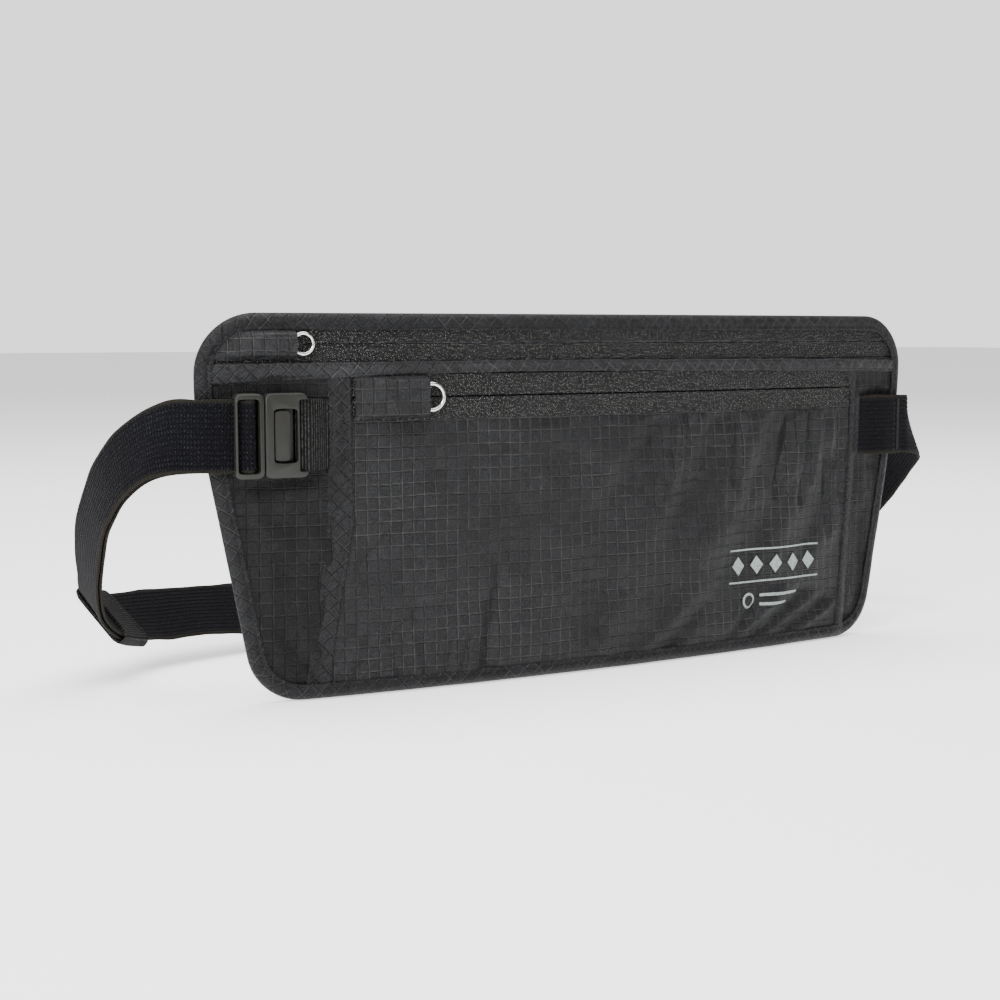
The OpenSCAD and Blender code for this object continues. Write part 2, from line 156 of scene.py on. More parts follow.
class Nodes:
    """Short ways to add and join shader nodes. Patterns read the "cloth" attribute, in metres."""

    def __init__(self, name):
        self.mat = bpy.data.materials.new(name)
        self.mat.use_nodes = True
        self.tree = self.mat.node_tree
        self.shader = self.tree.nodes["Principled BSDF"]

    def add(self, kind, inputs=(), out=0, **props):
        made = self.tree.nodes.new("ShaderNode" + kind)
        for key, value in props.items():
            setattr(made, key, value)
        for key, value in dict(inputs).items():
            self.put(made.inputs[key], value)
        return Value(self, made.outputs[out])

    def put(self, socket, value):
        if isinstance(value, Value):
            self.tree.links.new(value.socket, socket)
        else:
            socket.default_value = value

    def math(self, operation, a, b=0.0):
        return self.add("Math", {0: a, 1: b}, operation=operation)

    def vector(self, operation, a, b=None, **more):
        return self.add("VectorMath", {0: a, **({} if b is None else {1: b}), **more}, operation=operation)

    def wave(self, value, pitch, kind="SINE"):
        return self.math(kind, value * (2 * math.pi / pitch))

    def cloth(self, wander=0.0):
        place = self.add("Attribute", out=1, attribute_name="cloth")
        if wander:
            noise = self.add("TexNoise", {"Vector": place, "Scale": 45.0, "Detail": 1.0}, out=1)
            centred = self.vector("SUBTRACT", noise, (0.5, 0.5, 0.5))
            place = self.vector("ADD", place, self.vector("SCALE", centred, Scale=wander))
        return place

    def split(self, vector):
        return [self.add("SeparateXYZ", {0: vector}, out=k) for k in (0, 1)]

    def noise(self, place, scale, detail=2.0, rough=0.55):
        return self.add("TexNoise", {"Vector": place, "Scale": scale, "Detail": detail, "Roughness": rough})

    def ramp(self, value, low, high, to_low=0.0, to_high=1.0):
        inputs = dict(enumerate((value, low, high, to_low, to_high)))
        return self.add("MapRange", inputs, interpolation_type="SMOOTHSTEP")

    def line(self, value, pitch, inner, outer):
        """1 on the lines at every multiple of pitch, falling to 0 between inner and outer."""
        return self.ramp(self.math("PINGPONG", value, pitch / 2), inner, outer, 1.0, 0.0)

    def mix(self, factor, a, b):
        a, b = (colour if isinstance(colour, Value) else (*colour, 1) for colour in (a, b))
        return self.add("Mix", {0: factor, 6: a, 7: b}, out=2, data_type="RGBA")

    def finish(self, colour, rough_by, rough, height, depth, sheen=0.0, **fixed):
        """rough_by is a pattern that takes the roughness from rough[0] to rough[1]."""
        self.put(self.shader.inputs["Base Color"], colour)
        self.put(self.shader.inputs["Roughness"], self.ramp(rough_by, 0.3, 0.7, *rough))
        bump = self.add("Bump", {"Strength": 1.0, "Distance": depth, "Height": height})
        self.put(self.shader.inputs["Normal"], bump)
        if sheen:
            fixed.update(Sheen_Weight=sheen, Sheen_Roughness=0.4)
        for key, value in fixed.items():
            self.shader.inputs[key.replace("_", " ")].default_value = value
        return self.mat


def grey(level, warm=0.0):
    return level * (1 + warm), level, level * (1 - warm)


def times(base, *shares):
    return tuple(base * share for share in shares)


def ripstop(name, base, line_gain, rough, gloss=0.35):
    """Thin cloth with a grid of raised yarns: broken bright lines, each with a painted shadow beside it."""
    n = Nodes(name)
    place = n.cloth(wander=0.0015)
    u, v = n.split(place)
    cell_u, cell_v, beside, weave_pitch = 0.0042, 0.00436, 0.00034, 0.00052
    lines = n.math("MAXIMUM", *(n.line(a, cell, 0.00008, 0.00034) for a, cell in ((u, cell_u), (v, cell_v))))
    # Lines just beside the yarns: painted shadow of the raised yarn, and a groove in the bump.
    groove_and_painted_shadow = n.math("MAXIMUM", *(n.line(a + beside, cell, 0.00005, 0.0003) for a, cell in ((u, cell_u), (v, cell_v))))
    broken = n.ramp(n.noise(place, 420.0), 0.35, 0.6, 0.25, 1.0)
    patchy = n.ramp(n.noise(place, 26.0), 0.35, 0.62, 0.25, 1.0)
    lit = lines * broken * patchy
    weave = n.wave(u, weave_pitch) * n.wave(v, weave_pitch)
    cell_id = n.vector("FLOOR", n.vector("DIVIDE", place, (cell_u, cell_v, 1.0)))
    tone = n.add("TexWhiteNoise", {"Vector": cell_id}, noise_dimensions="3D")
    cloud = n.noise(place, 22.0, 3.0)
    yarn = n.ramp(n.noise(place, 1500.0), 0.3, 0.7)
    shade = (tone * 0.22 + cloud * 0.6) * (yarn * 1.5 + 0.35)
    body = n.mix(shade, times(base, 0.1, 0.1, 0.13), times(base, 3.2, 3.25, 3.6))
    # Painted shadow: the cloth darkened along the line beside each raised yarn.
    body = n.mix(groove_and_painted_shadow * 0.7, body, grey(base * 0.12))
    colour = n.mix(lit * line_gain, body, times(base, 10.5, 10.3, 10.2))
    crinkle = n.noise(place, 260.0, 4.0, 0.6)
    height = ((lines - groove_and_painted_shadow) * 0.6 + weave * 0.14) + (crinkle * 1.2 + yarn * 0.35)
    return n.finish(colour, cloud, (rough - 0.06, rough + 0.08), height, 0.00028, 0.04, Specular_IOR_Level=gloss)


def twill(name, base):
    """Zip tape: chevrons of thick yarn, with painted highlights as bright specks where the yarn catches the light."""
    n = Nodes(name)
    place = n.cloth()
    u, v = n.split(place)
    ribs = n.wave(u + n.math("PINGPONG", v, 0.0011), 0.00085)
    picks = n.wave(v, 0.00055)
    grain = n.noise(place, 1700.0)
    height = ribs * 0.5 + picks * 0.25 + grain
    # Painted highlight: bright specks on the rib crests, mixed into the colour.
    bright = n.ramp(ribs, -0.2, 0.9) * n.ramp(grain, 0.5, 0.64)
    colour = n.mix(bright, grey(base * 0.2), grey(base * 24.0, 0.03))
    return n.finish(colour, grain, (0.6, 0.8), height, 0.0003, Specular_IOR_Level=0.25)


def elastic(name, half_width=0.01225):
    """Knitted elastic: fine braided rows, with a plainer, browner selvedge."""
    n = Nodes(name)
    place = n.cloth()
    u, v = n.split(place)
    row = 0.000875
    knit = n.wave(u + n.math("PINGPONG", v, row) * 0.9, 0.0011)
    grain = n.noise(place, 1300.0)
    height = knit * 0.5 + n.wave(v, row) * 0.3 + grain * 0.8
    # Painted highlight: bright specks on the crests of the knit, stronger on every other row.
    painted_knit_glint = n.ramp(knit, 0.0, 1.0) * n.ramp(grain, 0.42, 0.7)
    painted_knit_glint = painted_knit_glint * n.ramp(n.wave(v, 2 * row, "COSINE"), -1.0, 0.6, 0.25, 1.0)
    body = n.mix(painted_knit_glint, (0.0016, 0.0016, 0.0024), (0.026, 0.0255, 0.035))
    edge = n.ramp(n.math("ABSOLUTE", v), half_width - 0.0016, half_width - 0.0007)
    colour = n.mix(edge, body, (0.013, 0.0115, 0.0088))
    return n.finish(colour, grain, (0.7, 0.85), height, 0.0002, 0.02, Specular_IOR_Level=0.08)


def webbing(name):
    """Webbing with ribs across it."""
    n = Nodes(name)
    place = n.cloth()
    ribs = n.wave(n.split(place)[0], 0.00115, "COSINE")
    grain = n.noise(place, 1400.0)
    # Painted highlight: the rib crests lightened in the colour, in specks.
    painted_rib_glint = n.ramp(grain, 0.35, 0.65) * n.ramp(ribs, -0.2, 0.9)
    colour = n.mix(painted_rib_glint, grey(0.0015), grey(0.045, 0.03))
    return n.finish(colour, grain, (0.6, 0.8), ribs * 0.4 + grain, 0.00018, 0.02, Specular_IOR_Level=0.12)


def lining(name, base):
    """Soft brushed cloth for the side that lies on the skin, with a fine hexagon-like knit."""
    n = Nodes(name)
    place = n.cloth(wander=0.0004)
    knit = n.add("TexVoronoi", {"Vector": place, "Scale": 520.0}, voronoi_dimensions="2D")
    cloud = n.noise(place, 30.0, 4.0)
    colour = n.mix(knit * 0.8, grey(base * 1.5), grey(base * 0.45))
    height = knit * -0.8 + cloud * 0.6
    return n.finish(colour, cloud, (0.72, 0.88), height, 0.0003, 0.12, Specular_IOR_Level=0.2)


def plastic(name, base):
    n = Nodes(name)
    place = n.add("TexCoord", out=3)
    cloud = n.noise(place, 90.0, 3.0)
    colour = n.mix(cloud, tuple(c * 0.85 for c in base), tuple(c * 1.2 for c in base))
    return n.finish(colour, cloud, (0.42, 0.54), n.noise(place, 2600.0), 0.00004, Specular_IOR_Level=0.3)


def metal(name, base, rough, metallic=1.0):
    n = Nodes(name)
    place = n.add("TexCoord", out=3)
    scratch = n.noise(place, 900.0, 4.0, 0.7)
    cloud = n.noise(place, 160.0)
    colour = n.mix(cloud, tuple(c * 0.88 for c in base), tuple(min(1, c * 1.08) for c in base))
    return n.finish(colour, scratch, (rough, rough + 0.14), scratch, 0.00001, Metallic=metallic)


def thread(name, base):
    n = Nodes(name)
    twist = n.noise(n.add("TexCoord", out=3), 1800.0)
    colour = n.mix(twist, grey(base * 0.6), grey(base * 1.8))
    return n.finish(colour, twist, (0.5, 0.7), twist, 0.00008, Specular_IOR_Level=0.3)


def ink(name):
    n = Nodes(name)
    wear = n.noise(n.cloth(), 900.0, 3.0)
    colour = n.mix(n.ramp(wear, 0.25, 0.6), (0.14, 0.165, 0.155), (0.26, 0.30, 0.28))
    return n.finish(colour, wear, (0.45, 0.6), wear, 0.00003)


M = {}


def make_materials():
    M["ripstop"] = ripstop("ripstop", 0.0052, 0.62, 0.34, gloss=0.2)
    M["hood"] = ripstop("hood_ripstop", 0.0062, 0.6, 0.40, gloss=0.2)
    M["base"] = ripstop("base_ripstop", 0.0034, 0.5, 0.40, gloss=0.14)
    M["strip"] = ripstop("strip_tape", 0.0085, 0.6, 0.45, gloss=0.24)
    M["bias"] = ripstop("bias_tape", 0.0055, 0.5, 0.5, gloss=0.16)
    M["lining"] = lining("lining", 0.012)
    M["shield"] = ripstop("shield", 0.30, 0.2, 0.3)
    M["tape"] = twill("zip_tape", 0.008)
    M["coil"] = plastic("zip_coil", grey(0.02))
    M["plastic"] = plastic("buckle_plastic", (0.013, 0.013, 0.011))
    M["ring"] = metal("ring_metal", (0.80, 0.79, 0.74), 0.16)
    M["slider"] = metal("slider_metal", grey(0.02), 0.32, 0.3)
    M["elastic"] = elastic("elastic")
    M["webbing"] = webbing("webbing")
    M["thread"] = thread("thread", 0.008)
    M["ink"] = ink("ink")


# ------------------------------------------------------------------ mesh helpers

def on_body(x, w, z):
    """Metres, for arrays of places on the pouch in millimetres."""
    x, w, z = np.broadcast_arrays(np.asarray(x, float), w, z)
    a = np.arcsin(x / CURVE_R)
    return np.stack([(CURVE_R + w) * np.sin(a), CURVE_R - (CURVE_R + w) * np.cos(a), z], -1) * MM


def outward(x):
    a = np.arcsin(np.asarray(x, float) / CURVE_R)
    return np.stack([np.sin(a), -np.cos(a), np.zeros_like(a)], -1)


def smooth_step(t):
    t = np.clip(t, 0, 1)
    return t * t * (3 - 2 * t)


def bell(t):
    return np.exp(-(t**2))


def unit(v):
    return v / np.linalg.norm(v, axis=-1)[..., None]


def pair(a, b):
    return np.stack([a, b], -1)


def wobble(s, seed, scale):
    """Smooth, repeatable variation from -1 to 1 along s."""
    s = np.asarray(s, float) / scale
    return (np.sin(1.7 * s + 1.3 * seed) + np.sin(2.9 * s + 2.1 * seed + 1) + np.sin(4.3 * s + 0.7 * seed)) / 3


def quads(rows, cols, wrap_cols=False, wrap_rows=False, base=0):
    r = np.arange(rows if wrap_rows else rows - 1)
    c = np.arange(cols if wrap_cols else cols - 1)
    rr, cc = np.meshgrid(r, c, indexing="ij")
    r2, c2 = (rr + 1) % rows, (cc + 1) % cols
    found = [rr * cols + cc, rr * cols + c2, r2 * cols + c2, r2 * cols + cc]
    return list(np.stack(found, -1).reshape(-1, 4) + base)


def tube_faces(rows, cols, base=0):
    """The sides and the two ends of a tube."""
    last = base + (rows - 1) * cols
    return quads(rows, cols, wrap_cols=True, base=base) + [range(base, base + cols)[::-1], range(last, last + cols)]


def mesh_of(name, verts, faces):
    mesh = bpy.data.meshes.new(name)
    mesh.from_pydata(np.asarray(verts, float).reshape(-1, 3).tolist(), [], [list(map(int, f)) for f in faces])
    return mesh


def turn_outwards(mesh):
    work = bmesh.new()
    work.from_mesh(mesh)
    bmesh.ops.recalc_face_normals(work, faces=work.faces)
    work.to_mesh(mesh)
    work.free()


def build(name, verts, faces, mat, body="root", cloth=None, nodes=(), slot=None, sharp=50, turn=True):
    """A mesh object on a CAD body. faces is a list of index lists; cloth is (n, 2) in metres."""
    mesh = mesh_of(name, verts, faces)
    if cloth is not None:
        flat = np.zeros((len(mesh.vertices), 3), np.float32)
        flat[:, :2] = np.asarray(cloth, float).reshape(-1, 2)
        mesh.attributes.new("cloth", "FLOAT_VECTOR", "POINT").data.foreach_set("vector", flat.ravel())
    if turn:
        turn_outwards(mesh)
    mesh.polygons.foreach_set("use_smooth", [True] * len(mesh.polygons))
    mesh.set_sharp_from_angle(angle=math.radians(sharp))
    mesh.materials.append(mat)
    made = add_object(name, mesh)
    if nodes:
        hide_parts(*nodes)
    if body:
        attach(made, body)
    return made


def slab(name, x, front, back, z, mat, cloth=None, back_lift=0.0, **more):
    """A closed sheet on the pouch between the depths front and back, over grids of x and z."""
    rows, cols = x.shape
    size = rows * cols
    faces = quads(rows, cols) + [f[::-1] for f in quads(rows, cols, base=size)]
    rim = [r * cols for r in range(rows)] + [(rows - 1) * cols + c for c in range(1, cols)]
    rim += [r * cols + cols - 1 for r in range(rows - 2, -1, -1)] + list(range(cols - 2, 0, -1))
    faces += [[a, b, b + size, a + size] for a, b in zip(rim, rim[1:] + rim[:1])]
    cloth = (pair(x, z) * MM if cloth is None else cloth).reshape(-1, 2)
    faces_at = on_body(x, front, z), on_body(x, back, z + back_lift)
    verts = np.concatenate([p.reshape(-1, 3) for p in faces_at])
    return build(name, verts, faces, mat, cloth=np.concatenate([cloth, cloth]), **more)


def slanted(u, v):
    """Cloth coordinates for tape cut on the bias."""
    return pair(u - v, u + v) * (MM * 0.7071)


def loft(name, rings, cloth, mat, closed=False, **more):
    """A tube through closed rings of points (rows x cols x 3), capped unless it closes on itself."""
    rows, cols = rings.shape[:2]
    faces = quads(rows, cols, wrap_cols=True, wrap_rows=True) if closed else tube_faces(rows, cols)
    return build(name, rings, faces, mat, cloth=cloth, **more)


def curve_through(points, step):
    """Points every step along a smooth curve through the given ones (same unit)."""
    p = np.asarray(points, float)
    p = np.vstack([2 * p[0] - p[1], p, 2 * p[-1] - p[-2]])
    t = np.linspace(0, 1, 24, endpoint=False)[:, None]
    fine = [0.5 * (2 * b + (c - a) * t + (2 * a - 5 * b + 4 * c - d) * t**2 + (3 * b - a - 3 * c + d) * t**3)
            for a, b, c, d in zip(p, p[1:], p[2:], p[3:])]
    return resample(np.vstack(fine + [p[-2:-1]]), step)


def lengths(points):
    return np.concatenate([[0], np.cumsum(np.linalg.norm(np.diff(points, axis=0), axis=1))])


def resample(points, step):
    points = np.asarray(points, float)
    run = lengths(points)
    s = np.linspace(0, run[-1], max(2, int(round(run[-1] / step)) + 1))
    return np.stack([np.interp(s, run, points[:, k]) for k in range(points.shape[1])], -1)


def hoops(path, radius, aside, sides):
    """Rings of points round a path in metres; aside is a direction that the path never takes."""
    ahead = unit(np.gradient(path, axis=0))
    n1 = unit(np.cross(ahead, aside))
    n2 = np.cross(ahead, n1)
    a = np.linspace(0, 2 * np.pi, sides, endpoint=False)[None, :, None]
    return path[:, None] + radius * MM * (n1[:, None] * np.cos(a) + n2[:, None] * np.sin(a))


# ------------------------------------------------------------------ the pouch's surfaces, in mm

def crease(x, z, ax, az, bx, bz, width, height, lean=0.35):
    """A fold from a to b: a ridge of that height, with a softer hollow beside it."""
    dx, dz = bx - ax, bz - az
    size = math.hypot(dx, dz)
    t = ((x - ax) * dx + (z - az) * dz) / size**2
    off = ((x - ax) * dz - (z - az) * dx) / size
    beyond = np.maximum(np.maximum(-t, t - 1), 0) * size
    ends = bell(beyond / (1.6 * width))
    return height * ends * (bell(off / width) - lean * bell((off - 1.7 * width) / (1.2 * width)))


def crinkle(x, z, size):
    """Small all-over unevenness of thin cloth."""
    waves = ((0.31, 0.12, 0.4), (-0.17, 0.29, 1.9), (0.08, -0.41, 3.1), (0.47, 0.33, 0.2), (-0.52, 0.19, 2.2))
    return size * sum(np.sin(p * x + q * z + r + 1.4 * np.sin(0.05 * (x - z) + r)) for p, q, r in waves) / 3


# Folds of the front pocket, as start x and z, end x and z, width, height
POCKET_FOLDS = [
    (-46.5, 40, -52, 8, 2.6, -1.3), (-43, 36, -46, 9, 3.2, 0.9), (-77.5, 19, -76, 8, 1.3, -0.8),
    (-87, 15, -86, 7, 1.2, -0.7), (-65, 16, -67, 8, 1.3, -0.8), (-58, 18, -61, 8, 1.5, -0.8),
    (-80, 28, -96, 14, 2.2, -0.9), (-70, 31, -84, 30, 2.4, -0.5), (-100, 46, -88, 58, 1.6, -0.5),
    (-97, 20, -101, 9, 1.8, -0.8), (28, 96, 2, 66, 4.6, -1.5), (18, 82, 0, 48, 5.5, -1.2), (36, 84, 20, 52, 5.0, 1.0),
    (52, 94, 34, 58, 5.5, -1.4), (70, 90, 44, 46, 6.5, 1.1), (84, 84, 62, 44, 6.0, -1.4), (98, 78, 80, 40, 6.0, 1.1),
    (112, 74, 98, 36, 5.0, -1.4), (37.5, 97, 34, 72, 2.2, -1.3), (33, 97, 29, 78, 1.6, -0.9),
    (44, 96, 40, 74, 2.8, 0.8), (61.5, 92, 58.5, 70, 1.8, -1.1), (66, 95, 64, 74, 2.6, 0.7),
    (79, 92, 66, 58, 3.2, -1.1), (89, 96, 82, 64, 2.0, -1.5), (95, 96, 90, 70, 1.6, 0.9),
    (101, 94, 95, 60, 1.8, -1.5), (105, 95, 102, 66, 1.4, 0.9), (109.5, 92, 110.5, 46, 2.0, -1.2),
    (117, 94, 118, 60, 1.5, -1.0), (88, 60, 58, 30, 7.0, -1.0), (70, 62, 40, 26, 8.0, 0.9),
    (112, 44, 84, 24, 6.0, 0.8), (110, 18, 90, 8, 2.2, -1.2), (115, 15, 99, 7, 1.8, 0.8), (96, 21, 74, 8, 2.6, -1.3),
    (84, 22, 66, 9, 2.6, 0.8), (70, 17, 60, 7, 2.4, -1.0), (45, 21, 31, 8, 3.0, -1.2), (36, 24, 22, 10, 3.4, 0.7),
    (10, 30, -6, 8, 6.0, 0.6), (-12, 60, -30, 22, 9.0, 0.6), (-60, 70, -80, 36, 9.0, 0.4),
]

# Folds of the panel behind it, in the same way
BASE_FOLDS = [
    (-140, 74, -117, 78, 3.0, -0.7), (-138, 60, -112, 52, 5.0, 0.5), (-134, 66, -130, 30, 3.0, 0.5),
    (-128, 24, -116, 10, 3.0, -0.6), (-127, 14, -112, 16, 2.0, 0.5), (-122, 60, -124, 20, 4.0, -0.4),
    (130, 104, 152, 103, 1.3, 1.0), (130, 100.8, 152, 100, 1.2, -0.5), (132, 66, 140, 30, 3.0, 0.7),
    (134, 52, 131, 14, 2.4, -0.5), (138, 72, 150, 66, 2.5, -0.6),
]


def pocket_left(z):
    return np.interp(z, [0, 10, 28, 61, 112], [-112.5, -111, -108.5, -103.5, -103.5])


def pocket_right(z):
    return np.interp(z, [0, 10, 60, 107, 112], [119, 119.8, 123.5, 125.5, 122])


def pocket_depth(x, z):
    """Front of the lower pocket's panel."""
    u = np.clip((x - pocket_left(z)) / (pocket_right(z) - pocket_left(z)), 0, 1)
    v = np.clip((z - 2) / 94, 0, 1)
    calm = (1 - (2 * u - 1) ** 10) * (1 - (2 * v - 1) ** 12)
    billow = np.sin(0.21 * x + 0.13 * z + 1.0) * np.sin(0.19 * z - 0.11 * x + 0.6)
    billow = billow + 0.8 * np.sin(0.09 * x - 0.12 * z + 2.0) * np.sin(0.07 * z + 0.08 * x)
    w = 2.05 + calm * (1.0 + crinkle(x, z, 0.16) + 0.3 * billow)
    folds = sum(crease(x, z, *f) for f in POCKET_FOLDS)
    w = w - 0.5 * np.exp(-(((x - 100 + 0.35 * (96 - z)) / 16) ** 2 + ((z - 74) / 26) ** 2))
    near_seam = np.minimum(smooth_step((96.6 - z) / 3), smooth_step((z - 4) / 4))
    near_side = smooth_step((1 - np.abs(2 * u - 1)) * 16)
    return w + folds * near_seam * near_side


def base_depth(x, z):
    """Front of the panel behind, seen at both ends."""
    u = np.clip((np.abs(x) - 100) / (edge_x(z, 4.5) - 100), 0, 1)
    puff = 0.7 * np.sin(np.pi * u) ** 0.7 * smooth_step((z - 3) / 12) * smooth_step((118 - z) / 6)
    w = 0.45 + puff * (1 + crinkle(x * 1.2, z * 0.9, 0.4))
    calm = smooth_step((edge_x(z, 5.0) - np.abs(x)) / 5)
    for fold in BASE_FOLDS:
        w = w + crease(x, z, *fold) * smooth_step((np.abs(x) - 100) / 8) * calm
    return w


def trim_level(x, z):
    """What the trims are sewn on: the pocket's level in the middle, the base panel's at both ends."""
    left = smooth_step((x - (pocket_left(z) - 5)) / 6)
    right = smooth_step(((pocket_right(z) + 4) - x) / 6)
    low = smooth_step((116.5 - z) / 4)
    over_tab = smooth_step((z - 77.5) / 2.5) * smooth_step((106.5 - z) / 2.5)
    over_tab = over_tab * smooth_step((-104.5 - x) / 2) * smooth_step((x + 112) / 2)
    over_strap = smooth_step((z - 74) / 3) * smooth_step((104 - z) / 3)
    over_strap = over_strap * smooth_step((x - 124) / 3) * smooth_step((131.5 - x) / 2)
    return np.maximum(0.55 + 1.75 * left * right * low, np.maximum(2.45 * over_tab, 2.0 * over_strap))


def outline(inset, step=0.8):
    """The pouch's closed outline, moved in, as (x, z), clockwise from the top's middle."""
    lean, top_r, shoulder_r, low_r, shoulder_z = math.radians(10.8), 21.0, 60.0, 20.0, 108.0
    join_x = HALF_W - shoulder_r + shoulder_r * math.cos(lean)
    join_z = shoulder_z - shoulder_r * math.sin(lean)
    low_x = join_x - (join_z - low_r + low_r * math.sin(lean)) * math.tan(lean) - low_r * math.cos(lean)

    def arc(cx, cz, r, a0, a1):
        a = np.linspace(a0, a1, 24)
        return np.stack([cx + (r - inset) * np.cos(a), cz + (r - inset) * np.sin(a)], -1)

    half = np.vstack([
        arc(HALF_W - top_r, HEIGHT - top_r, top_r, math.pi / 2, 0),
        arc(HALF_W - shoulder_r, shoulder_z, shoulder_r, 0, -lean),
        arc(low_x, low_r, low_r, -lean, -math.pi / 2),
    ])
    mirrored = half[::-1] * [-1, 1]
    loop = np.vstack([[0, HEIGHT - inset], half, mirrored, [0, HEIGHT - inset]])
    return resample(loop, step)


RIM = outline(0.0)


def edge_x(z, inset):
    """How far out the outline reaches at height z."""
    line = outline(inset)
    line = line[line[:, 0] > 0]
    order = np.argsort(line[:, 1], kind="stable")
    return np.interp(z, line[order, 1], line[order, 0])


# ------------------------------------------------------------------ fabric pieces

def panel(name, zs, left, right, nx, depth, thick, mat, flip=False, **more):
    """A sheet over rows at heights zs. depth(x, z) is its outer face; thick goes inwards."""
    z = np.repeat(np.asarray(zs)[:, None], nx, 1)
    x = left[:, None] + (right - left)[:, None] * np.linspace(0, 1, nx)[None, :]
    w = depth(x, z)
    return slab(name, x, w, w + thick if flip else w - thick, z, mat, **more)


def trim(name, a, b, mat, thick=0.55, lift=0.0, turn=0.785, **more):
    """A narrow tape between two edge lines of (x, z): rounded edges and two stitched grooves."""
    share = np.array([0, 0.02, 0.06, 0.12, 0.19, 0.27, 0.36, 0.5, 0.64, 0.73, 0.81, 0.88, 0.94, 0.98, 1.0])
    high = np.array([0.0, 0.55, 0.95, 1.0, 0.72, 0.98, 1.08, 1.12, 1.08, 0.98, 0.72, 1.0, 0.95, 0.55, 0.0])
    s = lengths((a + b) / 2)
    p = a[:, None] + (b - a)[:, None] * share[None, :, None]
    x, z = p[..., 0], p[..., 1]
    pucker = 1 + 0.22 * np.sin(2 * np.pi * s / 2.7)[:, None] * (high[None, :] < 0.99) + 0.12 * wobble(s, 3, 6)[:, None]
    w = trim_level(x, z) + lift + thick * high[None, :] * pucker
    low = trim_level(x, z) + lift - 0.05
    width = np.linalg.norm(b - a, axis=1)[:, None] * share[None, :]
    u, v = np.broadcast_to(s[:, None], x.shape), width
    c, d = math.cos(turn), math.sin(turn)
    return slab(name, x, w, low, z, mat, cloth=pair(c * u - d * v, d * u + c * v) * MM, **more)


def binding_level(p):
    """Height of the layers that the binding closes over, along the outline."""
    x, z = p[:, 0], p[:, 1]
    low = smooth_step((16 - z) / 10) * smooth_step((126 - np.abs(x)) / 12)
    return 0.75 + 1.75 * low


def make_binding():
    p = RIM[:-1]
    d = unit(np.roll(p, -1, 0) - np.roll(p, 1, 0))
    inward = pair(d[:, 1], -d[:, 0])
    centre = np.array([0, 65.0])
    inward *= np.sign(((centre - p) * inward).sum(1))[:, None]
    level = binding_level(p)
    # (distance in, share of level, plus) round the fold: front, edge, back, and back inside
    shape = np.array([
        (5.55, 1, 0.02), (5.75, 1, 0.2), (5.7, 1, 0.42), (5.35, 1, 0.58), (4.85, 1, 0.5), (4.45, 1, 0.3),
        (4.05, 1, 0.42), (3.5, 1, 0.62), (2.7, 1, 0.62), (1.9, 0.9, 0.5), (1.2, 0.72, 0.3), (0.6, 0.5, 0.0),
        (0.2, 0.25, -0.35), (0.0, 0.05, -0.9), (0.15, 0, -1.7), (0.6, 0, -2.35), (1.3, 0, -2.8), (2.2, 0, -3.05),
        (3.2, 0, -3.15), (4.05, 0, -3.05), (4.45, 0, -2.9), (4.85, 0, -3.1), (5.35, 0, -3.15), (5.7, 0, -3.0),
        (5.6, 0, -2.8), (4.0, 0, -2.7), (2.2, 0, -2.5), (1.2, 0, -1.9), (0.9, 0.1, -0.9), (1.1, 0.5, -0.5),
        (2.0, 0.8, -0.1), (3.6, 0.95, 0.05),
    ])
    s = lengths(p)
    into, share, plus = shape[:, 0], shape[:, 1], shape[:, 2]
    stitch = bell((into - 4.6) / 1.0) * (plus > 0)
    stitch_back = bell((into - 4.6) / 1.0) * (plus < -2.8)
    pull = 0.13 * np.sin(2 * np.pi * s / 2.72)[:, None] + 0.12 * wobble(s, 5, 7)[:, None]
    w = level[:, None] * share[None, :] + plus[None, :] + pull * (stitch - stitch_back)[None, :]
    ripple = 0.22 * wobble(s, 2, 16)[:, None] * np.clip(1 - into / 5, 0, 1)[None, :] * (s[:, None] > 0)
    inner_wave = (0.16 * wobble(s, 7, 9)[:, None]) * (into > 4.9)[None, :]
    place = p[:, None, :] + inward[:, None, :] * (into[None, :] + inner_wave)[..., None]
    x, z = place[..., 0], np.maximum(place[..., 1], 0.02)
    round_the_fold = lengths(pair(into, plus))
    cloth = slanted(*np.broadcast_arrays(s[:, None], round_the_fold[None, :]))
    loft("binding", on_body(x, w + ripple, z), cloth, M["bias"], closed=True, nodes=["edge_binding"],
         slot="binding", sharp=70)
    return p, inward, level


def stitches(name, line, normal, pitch=2.7, share=0.72, radius=0.19, sink=0.02):
    """Thread lying in short raised runs along a line of points in metres, with unit normals."""
    rows, cols = 7, 6
    run = lengths(line) / MM
    count = int(run[-1] / pitch)
    starts = (np.arange(count) + 0.15) * pitch
    t = np.linspace(0, 1, rows)
    rise = np.sin(np.pi * t) ** 0.6
    around = np.linspace(0, 2 * np.pi, cols, endpoint=False)[None, None, :, None]
    s = starts[:, None] + t[None, :] * pitch * share
    centre, up = (np.stack([np.interp(s, run, of[:, k]) for k in range(3)], -1) for of in (line, normal))
    side = np.cross(up, unit(np.gradient(centre, axis=1)))
    r = radius * (0.35 + 0.65 * rise) * MM
    centre = centre + up * ((rise - 0.55) * radius - sink)[None, :, None] * MM
    ring = side[:, :, None, :] * np.cos(around) + up[:, :, None, :] * np.sin(around)
    points = centre[:, :, None, :] + ring * r[None, :, None, None]
    faces = [[k * rows * cols + i for i in f] for k in range(count) for f in tube_faces(rows, cols)]
    return build(name, points, faces, M["thread"], slot="thread", sharp=80, turn=False)


def surface_line(points, depth, lift=0.0):
    """A line of (x, z) laid on depth(x, z), with its normals."""
    p = resample(points, 0.5)
    return on_body(p[:, 0], depth(p[:, 0], p[:, 1]) + lift, p[:, 1]), outward(p[:, 0])


